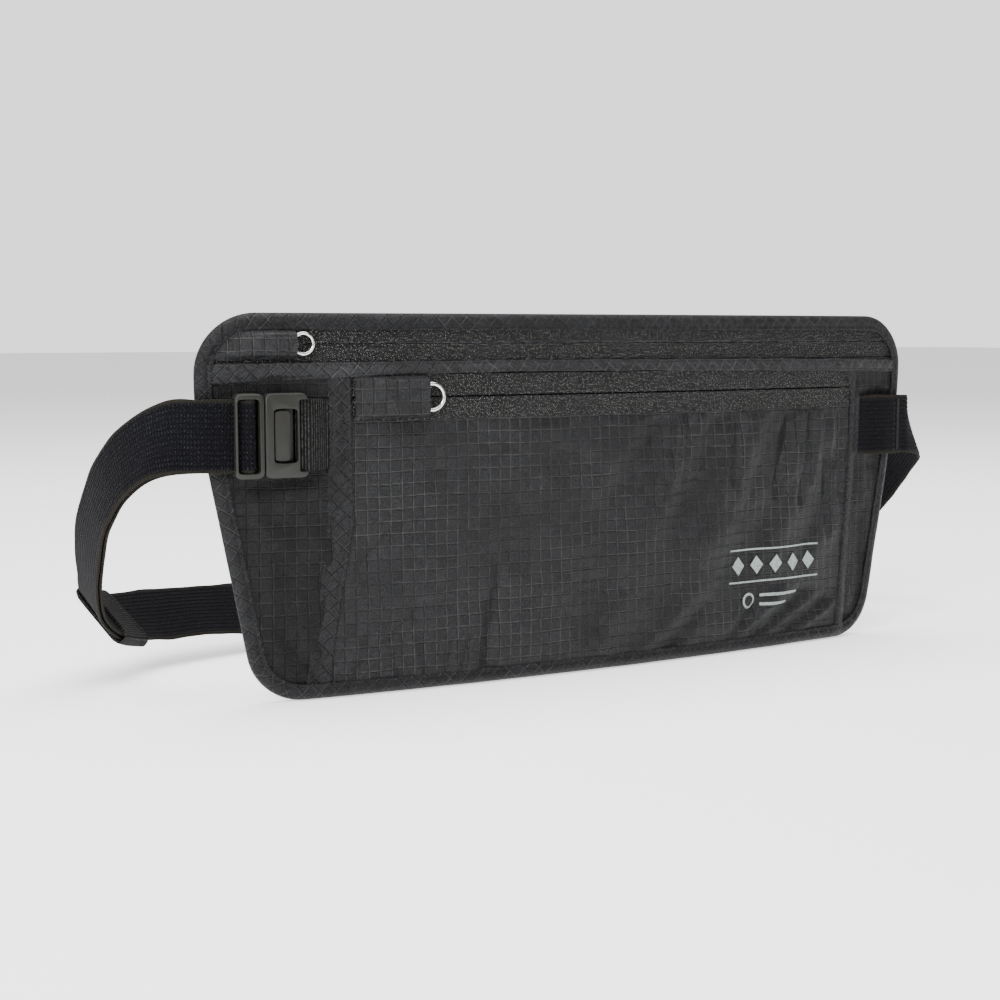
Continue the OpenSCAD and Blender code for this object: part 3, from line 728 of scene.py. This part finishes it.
def make_panels():
    rows = np.arange(2.6, 116.7, 1.4)
    reach = edge_x(rows, 2.6)
    panel("base_cloth", rows, -reach, reach, 240, lambda x, z: np.where(
        (x > pocket_left(z)) & (x < pocket_right(z)), np.minimum(base_depth(x, z), 0.45), base_depth(x, z)),
        0.35, M["base"], nodes=["front_base_panel"], slot="ripstop")
    rows = np.concatenate([np.arange(2.4, 96.6, 0.9), [96.8]])
    panel("pocket_cloth", rows, pocket_left(rows) - 2.0, pocket_right(rows) + 2.0, 250, pocket_depth, 0.3, M["ripstop"],
          nodes=["front_pocket_panel"], slot="ripstop")
    rows = np.arange(2.6, 130.5, 2.0)
    reach = edge_x(rows, 2.6)
    panel("back_cloth", rows, -reach, reach, 150,
          lambda x, z: -2.85 - 0.5 * smooth_step((edge_x(z, 2.6) - np.abs(x)) / 14) * smooth_step((z - 3) / 12)
          * smooth_step((131 - z) / 12) * (1 + crinkle(x * 0.6, z * 0.6, 0.7)),
          0.35, M["lining"], flip=True, nodes=["back_panel"], slot="lining")
    panel("shield_film", rows, -reach, reach, 100, lambda x, z: -2.2 + 0 * x, 0.15, M["shield"],
          nodes=["shield_liner"], slot="shield")
    rows = np.arange(2.6, 115, 3.0)
    reach = edge_x(rows, 3.0)
    panel("divider_cloth", rows, -reach, reach, 90, lambda x, z: -0.35 + 0 * x, 0.2, M["lining"],
          nodes=["pocket_divider"], slot="lining")


STRIP_X = [-152, -147, -120, -91, -45, 0, 60, 118, 144, 152]
STRIP_TOP = [115.9, 116.2, 116.3, 116.4, 116.5, 116.4, 116.2, 115.6, 115.1, 114.8]
STRIP_LOW = [109.1, 109.3, 110.1, 111.7, 112.4, 112.2, 111.7, 110.6, 110.0, 109.8]


def sewn_trim(name, short, node, edges, seams, mat, lift=0.0):
    """A tape between two lines of (x, z), with stitches along each: seams has (line, shift)."""
    trim(name, *edges, mat, lift=lift, nodes=[node], slot="binding")
    depth = lambda px, pz: trim_level(px, pz) + lift + 0.42
    for k, (edge, shift) in enumerate(seams):
        line, normal = surface_line(edges[edge] + shift, depth)
        stitches(f"stitch_{short}_{k}", line, normal)


def make_trims():
    x = np.arange(-151.2, 151.3, 0.9)
    low = np.interp(x, STRIP_X, STRIP_LOW) + 0.15 * wobble(x, 4, 13)
    top = np.interp(x, STRIP_X, STRIP_TOP) + 0.15 * wobble(x, 1, 11)
    sewn_trim("strip_middle", "strip", "middle_strip", (pair(x, low), pair(x, top)),
              ((1, (0, -1.0)), (0, (0, 1.0))), M["strip"], 0.12)
    z = np.arange(4.6, 111.4, 0.9)
    for side, line_a, line_b, wave, seeds, shift in (
        ("left", ([0, 9.6, 28, 61, 112], [-120, -118.2, -115.1, -111.0, -110.4]),
         ([0, 9.6, 28, 61, 112], [-111.9, -110.0, -107.6, -101.4, -102.2]), 0.2, (2, 6), 1.2),
        ("right", ([0, 8.6, 60, 98, 104, 108, 112], [116.2, 116.5, 121.6, 123.1, 122.3, 120.4, 118.0]),
         ([0, 8.6, 60, 107, 112], [122.6, 123.2, 127.6, 129.2, 129.3]), 0.15, (3, 8), 1.1),
    ):
        edges = [pair(np.interp(z, *line) + wave * wobble(z, seed, 12), z)
                 for line, seed in zip((line_a, line_b), seeds)]
        sewn_trim("tape_" + side, side, "pocket_tape_" + side, edges, ((0, (shift, 0)), (1, (-shift, 0))), M["bias"])


def make_binding_stitches(p, inward, level):
    q = p + inward * 4.45
    q = np.vstack([q, q[:1]])
    level = np.append(level, level[0])
    line = on_body(q[:, 0], level + 0.36, q[:, 1])
    stitches("stitch_edge_front", line, outward(q[:, 0]))
    line = on_body(q[:, 0], -2.98 + 0 * level, q[:, 1])
    stitches("stitch_edge_back", line, -outward(q[:, 0]))


# ------------------------------------------------------------------ zips

def make_zip(kind, centre, xs, low, high, level, coil_w, coil_x):
    """Two woven tapes either side of a slit, and their coils behind."""
    slit = 0.26
    for side, sign, far in (("top", 1, high), ("bottom", -1, low)):
        edge = centre + sign * slit
        t = np.array([0, 0.03, 0.1, 0.2, 0.32, 0.45, 0.6, 0.8, 1.0])
        z = edge + (far - edge) * t[None, :] + 0 * xs[:, None]
        reach = edge_x(z, 3.0)
        x = np.clip(xs[:, None] + 0 * z, -reach, reach)
        near = np.abs(z - centre)
        roll = 0.16 * bell((near - 1.1) / 0.8) - 0.12 * bell(near / 0.35)
        w = level - 0.2 + roll + 0.05 * wobble(x, 3, 9)
        slab(f"{kind}_tape_{side}", x, w, w - 0.3, z, M["tape"], nodes=[f"{kind}_zip_tape_{side}"], slot="zip_tape")
        make_coil(f"{kind}_teeth_{side}", centre, sign, coil_w, coil_x, [f"{kind}_coil_{side}"])


def make_coil(name, centre, side, ws, xs, nodes):
    pitch, per_turn, wire = 0.95, 8, 0.17
    turns = int((xs[1] - xs[0]) / pitch)
    k = np.arange(turns * per_turn + 1)
    t = 2 * np.pi * k / per_turn + (0 if side > 0 else np.pi)
    x = xs[0] + pitch * k / per_turn
    mid_w, tall = (ws[0] + ws[1]) / 2, (ws[1] - ws[0]) / 2 - wire
    z = centre + side * (0.22 + wire + 0.52 * (1 - np.cos(t)))
    rings = hoops(on_body(x, mid_w + tall * np.sin(t), z), wire, (1.0, 0.0, 0.0), 5)
    loft(name, rings, None, M["coil"], nodes=nodes, slot="zip_coil", sharp=80)


def make_zips():
    make_zip("upper", UPPER_ZIP_Z, np.arange(-151, 151.3, 1.2), 116.4, 129.2, 0.38, (-0.9, -0.1), (-146, 144.5))
    make_zip("lower", LOWER_ZIP_Z, np.arange(-104, 123.2, 1.2), 96.1, 111.9, 2.38, (1.2, 1.9), (-102, 116))
    for kind, x0, z0, w0 in (("upper", 145.5, UPPER_ZIP_Z, -0.05), ("lower", 117.0, LOWER_ZIP_Z, 1.95)):
        z, bend = np.linspace(z0 - 1.9, z0 + 1.9, 9), 0.1 * np.sin(np.linspace(0, np.pi, 9))
        bars = [on_body(x0 + 0.2 + 0.4 * k + 0 * z, w0 + 0.12 + bend, z) for k in range(5)]
        threads(f"{kind}_stop_thread", bars, 0.2, [f"{kind}_zip_stop"])


def threads(name, lines, radius, nodes):
    """Round threads along several lines of points in metres, as one piece."""
    verts, faces, sides = [], [], 6
    for path in lines:
        faces += tube_faces(len(path), sides, base=sum(map(len, verts)))
        verts.append(hoops(path, radius, (0.31, 0.93, 0.19), sides).reshape(-1, 3))
    return build(name, np.concatenate(verts), faces, M["thread"], nodes=nodes, slot="thread", sharp=80, turn=False)


# ------------------------------------------------------------------ strap

ROUTE_LEFT = [
    (-144.1, 4.5, 92, 0), (-150, 5, 92.2, 0), (-156.5, 5.9, 92.3, -1), (-163.7, 11.2, 91.8, -11),
    (-170.7, 19.2, 88.2, -21), (-176.5, 27.6, 81, -19), (-180.2, 36.7, 70.2, -10), (-181.1, 45.9, 57.5, 5),
    (-179.8, 55, 44.5, 16), (-176.2, 64, 32.7, 28), (-170, 73.4, 24.6, 46), (-160.3, 83, 20.8, 52),
    (-145.3, 92, 19.2, 46), (-125, 99.5, 18, 48), (-102, 105, 16.2, 42),
]
ROUTE_RIGHT = [
    (157, 7, 87.9, 3), (162, 10.8, 87, 12), (168, 16, 84.8, 19),
    (174.5, 23.5, 81.8, 18), (180, 33.5, 75.5, 9), (183.8, 45.5, 66.3, 2), (184.6, 59, 55, 0),
    (181.6, 73.5, 43.8, 0), (175, 88, 33.6, 0), (165, 102, 25, 0), (151, 115, 18.2, 0),
    (134, 125, 14, 0), (114, 131.5, 12.6, 0),
    (80, 136, 12.4, 0), (35, 136, 12.3, 0), (-10, 131, 12.4, -3), (-50, 122, 13, -14), (-80, 112, 14.4, -30),
]
TAB_PROFILE = [(127, 1.25), (131, 1.35), (135, 2), (139, 3.1), (143, 3.9), (147, 4.05), (150.5, 4.05), (153.2, 4.05)]
STRAP_W, STRAP_T, LAYER_GAP, STRAP_Z, STATION_STEP = 24.5, 1.2, 0.75, 92.0, 1.5


def axes(route):
    """Direction across and face normal of a band at every station."""
    ahead = unit(np.gradient(route[:, :3], axis=0))
    up = unit(np.array([0, 0, 1.0]) - ahead[:, 2:3] * ahead)
    roll = np.radians(route[:, 3:4])
    across = up * np.cos(roll) + np.cross(up, ahead) * np.sin(roll)
    return across, np.cross(across, ahead)


def band(name, route, mat, width=STRAP_W, thick=STRAP_T, rib=1.75, rib_high=0.11, ripple=0.25, cross=None, **more):
    """A woven strap along a route in mm, with ribs along it, soft edges and a slightly uneven border."""
    across, normal = axes(route)
    s = lengths(route[:, :3])
    half = width / 2
    v = np.concatenate([[-half], np.arange(-half + 0.22, half - 0.2, rib / 4), [half - 0.22, half]])
    edge = np.clip((half - np.abs(v)) / 0.5, 0, 1) ** 0.5
    high = (thick / 2 - 0.06) * (0.42 + 0.58 * edge) + rib_high * np.cos(2 * np.pi * v / rib) * (edge > 0.95)
    if cross is not None:
        high = high[None, :] + cross(s)[:, None] * edge[None, :]
    else:
        high = np.broadcast_to(high[None, :], (len(s), len(v)))
    around = np.concatenate([v, v[::-1]])
    side = np.concatenate([high, -high[:, ::-1]], axis=1)
    sway = ripple * wobble(s, 4, 9)[:, None] * (np.abs(around) > half - 0.6)[None, :]
    bow = 0.16 * wobble(s, 9, 21)[:, None] * np.cos(np.pi * around / width)[None, :]
    rings = route[:, None, :3] + across[:, None] * (around + sway * np.sign(around))[..., None]
    rings = (rings + normal[:, None] * (side + bow)[..., None]) * MM
    rings[..., 2] = np.maximum(rings[..., 2], 0.0002)
    cloth = np.stack(np.broadcast_arrays(s[:, None], around[None, :]), -1) * MM
    slot = "elastic" if mat is M["elastic"] else "webbing"
    return loft(name, rings, cloth, mat, slot=slot, sharp=60, **more)


def shifted(route, out):
    normal = axes(route)[1]
    moved = route.copy()
    moved[:, :3] += normal * out
    return moved


def on_arc(x, w):
    a = math.asin(x / CURVE_R)
    return (CURVE_R + w) * math.sin(a), CURVE_R - (CURVE_R + w) * math.cos(a)


def flat_places(places, z):
    """(x, w) on the pouch as route points, with no roll."""
    return [(*on_arc(x, w), z, 0) for x, w in places]


def nearest(route, place):
    return int(np.argmin(np.linalg.norm(route[:, :3] - np.array(place), axis=1)))


def make_straps():
    # right: sewn end, round behind the pouch, to the keeper
    back = [(*p[:3], -p[3]) for p in ROUTE_LEFT[14:10:-1]]
    route = curve_through(flat_places(TAB_PROFILE, 88) + ROUTE_RIGHT + back, STATION_STEP)
    band("strap_right_and_rear", route, M["elastic"], rib_high=0.15, nodes=["strap_tab_right", "strap_rear_run"])
    # left: one doubled length, from the keeper round the male part's bar and back
    main = curve_through(ROUTE_LEFT, STATION_STEP)
    stop = nearest(main, (-161.8, 81.6, 21.2))
    outer, inner = shifted(main, LAYER_GAP)[: stop + 1], shifted(main, -LAYER_GAP)[:stop]
    outer = outer[::-1] * [1, 1, 1, -1]
    bar_x, bar_w, turn_r = BUCKLE_X - 5, 6.2, 1.9
    turn = [(bar_x + turn_r * math.cos(a), bar_w + turn_r * math.sin(a)) for a in np.radians(np.arange(130, -131, -10))]
    turn = flat_places([(-142.3, 6.2)] + turn + [(-141.9, 4.35)], STRAP_Z)
    loop = resample(np.vstack([outer, turn, inner]), 1.0)
    made = band("strap_left_doubled", loop, M["elastic"], body=None,
                nodes=["strap_outer_layer", "strap_inner_layer", "strap_bar_wrap"])
    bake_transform(made)
    make_keeper(main)
    make_tabs()


def make_keeper(main):
    """A sewn sleeve round both runs, a little slack, with a turned seam."""
    route = resample(main[nearest(main, (-170, 73.4, 24.6)) : nearest(main, (-157.5, 85, 20.4))], 0.7)
    across, normal = axes(route)
    s = lengths(route[:, :3])
    turn = np.linspace(0, 2 * np.pi, 96, endpoint=False)
    c, d = np.cos(turn), np.sin(turn)
    squared = lambda half_w, half_t: (half_w * np.sign(c) * np.abs(c) ** 0.28, half_t * np.sign(d) * np.abs(d) ** 0.55)
    rows = []
    end = np.minimum(s, s[-1] - s)
    hem = 0.25 * bell((end - 0.8) / 0.7) - 0.12 * bell((end - 2.2) / 0.4)
    for half_w, half_t, sign in ((14.2, 2.75, 1), (13.4, 2.1, -1)):
        v, t = squared(half_w, half_t)
        ribs = hem[:, None] + 0.06 * np.cos(2 * np.pi * s / 1.9)[:, None]
        t = t[None, :] + sign * np.sign(t)[None, :] * ribs * (np.abs(v) < 12)[None, :]
        t = t + 0.35
        ring = route[:, None, :3] + across[:, None] * v[None, :, None] + normal[:, None] * t[..., None]
        rows.append((ring, np.broadcast_to(v[None, :], t.shape)))
    rings = np.concatenate([rows[0][0], rows[1][0][::-1]]) * MM
    rings[..., 2] = np.maximum(rings[..., 2], 0.0001)
    along = np.concatenate([s, s[::-1]])
    v = np.concatenate([rows[0][1], rows[1][1][::-1]])
    cloth = pair(v, np.broadcast_to(along[:, None], v.shape)) * MM
    loft("keeper_sleeve", rings, cloth, M["webbing"], closed=True, nodes=["strap_keeper"], slot="webbing", sharp=60)


def make_tabs():
    """The webbing that holds the female part, and the sewn ends' thread."""
    loop_r, bar_x, bar_w = 1.55, BUCKLE_X + 13.2, 5.2
    turn = [(bar_x + loop_r * math.cos(a), bar_w + loop_r * math.sin(a)) for a in np.radians(np.arange(100, 261, 10))]
    places = [(-106.5, 1.9), (-110, 1.95), (-112, 2.4), (-115, 4.6), (-118.2, 6.5)] + turn
    places += [(-118.2, 3.0), (-114.5, 1.2), (-110, 1.0), (-106.5, 0.95)]
    route = resample(flat_places(places, STRAP_Z), 0.28)
    band("webbing_tab", route, M["webbing"], width=24.0, thick=0.85, rib=60, rib_high=0.0, ripple=0.15,
         cross=lambda s: 0.2 * np.cos(2 * np.pi * s / 1.15), nodes=["webbing_tab_left"])
    zigs = []
    for x0, w0, low, high, count in ((149.4, 4.78, 77.3, 98.7, 3), (-109.0, 2.95, 81.0, 103.0, 2)):
        for k in range(count):
            z = np.linspace(low, high, 160)
            x = x0 + 0.45 * k + 0.5 * np.abs(((z * 1.1 + 0.3 * k) % 1) - 0.5)
            zigs.append(on_body(x, w0 + 0.06 * np.sin(z * 5), z))
    threads("bar_tack_threads", zigs, 0.17, ["bar_tacks"])
    z = np.linspace(76.6, 99.4, 60)
    line = on_body(147.6 + 0 * z, 4.05 + 0.66, z)
    stitches("stitch_tab", line, outward(147.6 + 0 * z), pitch=2.1)


# ------------------------------------------------------------------ buckle and sliders

def tangent(x0):
    """Turns (u, w, z) in mm in the flat frame at x0 into metres."""
    a = math.asin(x0 / CURVE_R)
    px, py = on_arc(x0, 0)

    def place(u, w, z):
        u, w, z = np.broadcast_arrays(np.asarray(u, float), w, z)
        x = px + u * math.cos(a) + w * math.sin(a)
        y = py + u * math.sin(a) - w * math.cos(a)
        return np.stack([x, y, z], -1) * MM
    return place


def rounded(us, zs, r, bow=0.0, n=8):
    """Outline of a rounded rectangle in (u, z); bow swells its two ends in z."""
    out = []
    u0, u1, z0, z1 = us[0] + r, us[1] - r, zs[0] + r, zs[1] - r
    for cu, cz, a0 in ((u1, z1, 0), (u0, z1, 90), (u0, z0, 180), (u1, z0, 270)):
        for a in np.radians(np.linspace(a0, a0 + 90, n)):
            out.append((cu + r * math.cos(a), cz + r * math.sin(a)))
    out = resample(np.array(out + out[:1]), 0.8)[:-1]
    if bow:
        mid_u, mid_z = sum(us) / 2, sum(zs) / 2
        swell = np.clip(1 - ((out[:, 0] - mid_u) / ((us[1] - us[0]) / 2)) ** 2, 0, 1)
        out[:, 1] += bow * swell * np.sign(out[:, 1] - mid_z)
    return out


def prism(place, outline_uz, ws, soft=(0.0, 0.0), shape=None):
    """(verts, faces) of an outline in (u, z) raised between two depths, with rounded rims."""
    mid = outline_uz.mean(0)
    rows = []
    steps = np.radians([0, 30, 60, 90])
    for a in steps:
        rows.append((soft[0] * (1 - math.sin(a)), ws[0] + soft[0] * (1 - math.cos(a))))
    for a in steps[::-1]:
        rows.append((soft[1] * (1 - math.sin(a)), ws[1] - soft[1] * (1 - math.cos(a))))
    if soft[0] == 0:
        rows = [(0, ws[0])] + rows[4:]
    if soft[1] == 0:
        rows = rows[: len(rows) - 4] + [(0, ws[1])]
    d = unit(np.roll(outline_uz, -1, 0) - np.roll(outline_uz, 1, 0))
    inward = pair(-d[:, 1], d[:, 0])
    inward *= np.sign(((mid - outline_uz) * inward).sum(1).mean())
    rings = []
    for inset, w in rows:
        p = outline_uz + inward * inset
        level = w + (shape(p[:, 0], p[:, 1]) * (w - ws[0]) / (ws[1] - ws[0]) if shape else 0)
        rings.append(place(p[:, 0], level, p[:, 1]))
    return np.concatenate(rings), tube_faces(len(rings), len(outline_uz))


def rod(place, u, w, zs, r):
    a = np.linspace(0, 2 * np.pi, 24, endpoint=False)
    rings = [place(u + r * np.cos(a), w + r * np.sin(a), z) for z in zs]
    return np.concatenate(rings), tube_faces(len(zs), len(a))


def box_at(place, us, ws, zs):
    corners = np.array([(us[0], zs[0]), (us[1], zs[0]), (us[1], zs[1]), (us[0], zs[1])], float)
    return prism(place, corners, ws)


def temp(verts, faces):
    """A body for the booleans, a hundred times the size so that its short edges count."""
    mesh = mesh_of("temp", verts * 100, faces)
    turn_outwards(mesh)
    return add_object("temp", mesh)


def moulded(name, solids, cuts, body, node, mat="plastic", slot="buckle_plastic", bevel=0.22):
    """One moulded part: solids joined, cuts taken out, then every hard edge softened."""
    base = temp(*solids[0])
    others = [(temp(*s), "UNION") for s in solids[1:]] + [(temp(*c), "DIFFERENCE") for c in cuts]
    for other, kind in others:
        step = base.modifiers.new("b", "BOOLEAN")
        step.operation, step.solver, step.object = kind, "EXACT", other
    if bevel:
        soft = base.modifiers.new("soft", "BEVEL")
        soft.width, soft.segments, soft.limit_method = bevel * MM * 100, 3, "ANGLE"
        soft.angle_limit, soft.use_clamp_overlap = math.radians(38), True
    bpy.context.view_layer.update()
    shaped = base.evaluated_get(bpy.context.evaluated_depsgraph_get()).to_mesh()
    verts = np.array([v.co for v in shaped.vertices]) / 100
    faces = [list(p.vertices) for p in shaped.polygons]
    base.evaluated_get(bpy.context.evaluated_depsgraph_get()).to_mesh_clear()
    for thing in [base] + [o for o, _ in others]:
        mesh = thing.data
        bpy.data.objects.remove(thing)
        bpy.data.meshes.remove(mesh)
    return build(name, verts, faces, M[mat], body=body, nodes=[node], slot=slot, sharp=32)


def make_buckle():
    at = tangent(BUCKLE_X)
    low, high = 92 - 14.25, 92 + 14.25
    c_low, c_high = low + 1.5, high - 1.5
    # the top and bottom edges fall away in a chamfer
    fall = lambda u, z: -0.75 * np.clip((np.abs(z - 92) - 11.6) / 2.6, 0, 1) ** 1.3
    female = prism(at, rounded((0.15, 15), (low, high), 2.2), (3.3, 8.9), (0.4, 0.55), fall)
    cuts = [
        box_at(at, (-1, 12.2), (4.2, 7.7), (c_low, c_high)),
        prism(at, rounded((3, 11.3), (92 - 8.75, 92 + 8.75), 0.7, bow=0.45), (6.7, 10)),
    ]
    room = prism(at, rounded((11.9, 18), (c_low + 0.6, c_high - 0.6), 0.6), (2, 10))
    room_back = box_at(at, (10.9, 12.2), (2.3, 4.3), (c_low + 0.6, c_high - 0.6))
    moulded("buckle_female_shell", [female], cuts + [room, room_back], "root", "buckle_female")
    bar = rod(at, 13.2, 5.2, (c_low - 0.3, c_high + 0.3), 0.9)
    build("buckle_female_bar", *bar, M["plastic"], slot="buckle_plastic", sharp=40)
    slot_low, slot_high = 92 - 12.4, 92 + 12.4
    male = [
        prism(at, rounded((-10, -0.15), (low, high), 2.2), (3.3, 8.9), (0.4, 0.5), fall),
        box_at(at, (-0.5, 10), (4.7, 7.2), (c_low + 0.3, c_low + 2.3)),
        box_at(at, (-0.5, 10), (4.7, 7.2), (c_high - 2.3, c_high - 0.3)),
    ]
    cuts = [
        prism(at, rounded((-9.2, -1.6), (slot_low, slot_high), 1.1), (2, 10)),
        prism(at, rounded((-13, -8.4), (slot_low, slot_high), 0.5), (0, 6.5)),
    ]
    moulded("buckle_male_frame", male, cuts, "male", "buckle_male")
    bar = rod(at, -5, 6.2, (slot_low - 0.3, slot_high + 0.3), 1.0)
    build("buckle_male_bar", *bar, M["plastic"], body="male", slot="buckle_plastic", sharp=40)
    latch = [
        box_at(at, (0.1, 9.4), (5.8, 6.9), (92 - 7.5, 92 + 7.5)),
        prism(at, rounded((3.55, 9.0), (92 - 8.2, 92 + 8.2), 0.6, bow=0.4), (5.8, 7.85), (0.0, 0.35),
              lambda u, z: -0.35 * np.exp(-(((u - 6.6) / 2.6) ** 2 + ((z - 92) / 7.0) ** 2))),
    ]
    moulded("buckle_latch_pad", latch, [], "latch", "buckle_latch", bevel=0.15)


def make_slider(kind, pivot_x, z, half_h, plate_w, rear_w, wire_w, wire_r):
    at = tangent(pivot_x)
    gap, leg = wire_r + 0.35, 0.9
    top = wire_w + wire_r + 0.8

    def shield(inset):
        """Shield-like outline: wide rounded shoulders at the left, drawn in to the right."""
        u = np.array([-9.5, -8.6, -6.0, -3.0, 0.0, 1.8, 2.4]) + np.array([1, 0.5, 0, 0, 0, -0.5, -1]) * inset
        h = np.array([0.55, 0.92, 1.0, 0.93, 0.74, 0.52, 0.2]) * (half_h - inset)
        line = np.vstack([pair(u, z + h), np.stack([u[::-1], z - h[::-1]], -1)])
        return curve_through(np.vstack([line, line[:1]]), 0.4)[:-1]

    solids = [
        prism(at, shield(0), plate_w, (0.0, 0.2)),
        prism(at, shield(0.5), rear_w, (0.15, 0.0)),
        box_at(at, (-2.2, 1.4), (rear_w[1] - 0.1, plate_w[0] + 0.1), (z - 0.2, z + 0.2)),
        prism(at, rounded((-gap - leg, gap + leg), (z - 0.8, z + 0.8), 0.4), (plate_w[1] - 0.1, top), (0.0, 0.3)),
    ]
    cuts = [box_at(at, (-gap, gap), (plate_w[1] + 0.05, top - 0.55), (z - 2, z + 2))]
    node = kind + "_slider"
    moulded(node + "_body", solids, cuts, node, node, "slider", "slider_metal", bevel=0.08)


def make_garage(name, xs, zs, w0, top, node, seed):
    """A little fabric hood over a closed slider: stitched down on three sides, open to the right."""
    x = np.linspace(0, 1, 60)[None, :]
    t = np.linspace(0, 1, 34)[:, None]
    z = zs[0] + (zs[1] - zs[0]) * t + 0 * x
    left = np.full_like(z, xs[0])
    if name == "garage_upper":
        left = np.maximum(left, -edge_x(z, 5.3))
    px = left + (xs[1] - left) * x
    flange = np.minimum(t, 1 - t) * (zs[1] - zs[0])
    arch = smooth_step((flange - 0.15) / 1.9) ** 0.55
    rise = 0.30 + 0.70 * smooth_step((x - 0.04) / 0.5)
    rumple = 0.16 * wobble(px + 0.4 * z, seed, 3.1) + 0.12 * wobble(z * 1.4 - px * 0.35, seed + 3, 2.3)
    slot_fold = 0.30 * bell((px - xs[1] + 9 + 0.25 * (z - zs[0])) / 1.3) * arch
    w = w0 + 0.35 + (top - w0 - 0.42) * arch * rise + rumple * arch * (0.3 + 0.7 * (1 - x)) - slot_fold * (1 - x)
    w = np.maximum(w, w0 + 0.35)
    lip = 0.35 * bell((xs[1] - px) / 0.7) * arch
    cloth = pair(px, z) * MM + 0.0021
    made = slab(name, px, w + 0.3 * lip, w - 0.33, z, M["hood"], cloth=cloth, nodes=[node], slot="ripstop")
    anchor, far = (on_body(x, w0, sum(zs) / 2) for x in xs)
    tuple(anchor)
    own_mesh(made)


def make_garages():
    make_garage("garage_upper", (-149, -121.4), (117.1, 127.4), 0.5, 3.95, "upper_garage", 2)
    make_garage("garage_lower", (-101.2, -74.6), (96.6, 111.4), 2.45, 6.3, "lower_garage", 6)


# ------------------------------------------------------------------ prints

def patch(a, b, c, d, nu, nv):
    """Points of a small four-cornered patch in (x, z)."""
    s, t = np.linspace(0, 1, nu)[None, :, None], np.linspace(0, 1, nv)[:, None, None]
    a, b, c, d = (np.array(q, float) for q in (a, b, c, d))
    return (a * (1 - s) + b * s) * (1 - t) + (d * (1 - s) + c * s) * t


def make_print(name, patches):
    verts, faces, base = [], [], 0
    for p in patches:
        rows, cols = p.shape[:2]
        verts.append(p.reshape(-1, 2))
        faces += quads(rows, cols, base=base)
        base += rows * cols
    v = np.concatenate(verts)
    w = pocket_depth(v[:, 0], v[:, 1]) + 0.22
    build(name, on_body(v[:, 0], w, v[:, 1]), faces, M["ink"], cloth=v * MM, slot="thread", turn=False)


def make_prints():
    bars = [patch((58, z), (105, z), (105, z + 0.7), (58, z + 0.7), 80, 2) for z in (27.6, 40.4)]
    for k in range(5):
        cx, cz = 63.0 + 9.2 * k, 34.4
        bars.append(patch((cx - 3.1, cz), (cx, cz - 3.7), (cx + 3.1, cz), (cx, cz + 3.7), 7, 7))
    make_print("print_row", bars)
    ring = []
    a = np.linspace(0, 2 * np.pi, 33)
    ring.append(np.stack([pair(67.5 + r * np.cos(a), 20.4 + r * np.sin(a)) for r in (2.2, 3.2)]))
    ring.append(patch((73.5, 21.6), (93, 21.6), (93, 22.8), (73.5, 22.8), 40, 3))
    ring.append(patch((73.5, 18.0), (87, 18.0), (87, 19.2), (73.5, 19.2), 30, 3))
    make_print("print_small", ring)


def make_binding_join():
    """Where the edge tape's end laps over its start, on the lower edge."""
    x = np.linspace(-9, 0, 16)[None, :]
    t = np.linspace(0, 1, 14)[:, None]
    shape_in = np.array([5.6, 5.55, 5.0, 4.5, 4.0, 3.3, 2.6, 1.9, 1.3, 0.8, 0.4, 0.1, 0.0, 0.3])
    plus = np.array([0.5, 0.72, 0.86, 0.75, 0.8, 0.92, 0.9, 0.75, 0.5, 0.2, -0.2, -0.6, -1.0, -1.9])
    share = np.clip(shape_in / 2.6, 0.1, 1)
    z = np.maximum(shape_in[:, None] + 0 * x, 0.02)
    px = x + 1.5 * (t - 0.5)
    w = 2.5 * share[:, None] + plus[:, None] - 0.25 * smooth_step((-7.5 - px) / 1.5) + 0 * x
    slab("binding_join", px, w, w - 0.25, z, M["bias"], cloth=slanted(px, z), back_lift=0.05, slot="binding")


def declare_cloth():
    area = lambda inset, top: float(edge_x(np.arange(0.25, top, 0.5), inset).sum()) * MM * MM
    for name, size, inset, top in (
        ("base_cloth", (0.306, 0.114), 2.6, 116.6), ("back_cloth", (0.306, 0.128), 2.6, 130.4),
        ("shield_film", (0.306, 0.128), 2.6, 130.4), ("divider_cloth", (0.305, 0.112), 3.0, 114.6),
    ):
        found = area(inset, top) - area(inset, 2.5)


def finish_cad_nodes():
    for node in ("upper_pull_ring", "lower_pull_ring"):
        made = bpy.data.objects[node]
        for slot in made.material_slots:
            slot.material = M["ring"]


make_camera()
make_stage()
make_materials()
make_panels()
make_binding_stitches(*make_binding())
make_trims()
make_zips()
make_garages()
make_slider("upper", -122.4, UPPER_ZIP_Z, 3.3, (0.55, 1.1), (-1.7, -1.1), 1.95, 0.6)
make_slider("lower", -77.8, LOWER_ZIP_Z, 3.8, (2.55, 3.2), (0.55, 1.05), 4.15, 0.675)
make_buckle()
make_straps()
make_prints()
make_binding_join()
declare_cloth()
finish_cad_nodes()
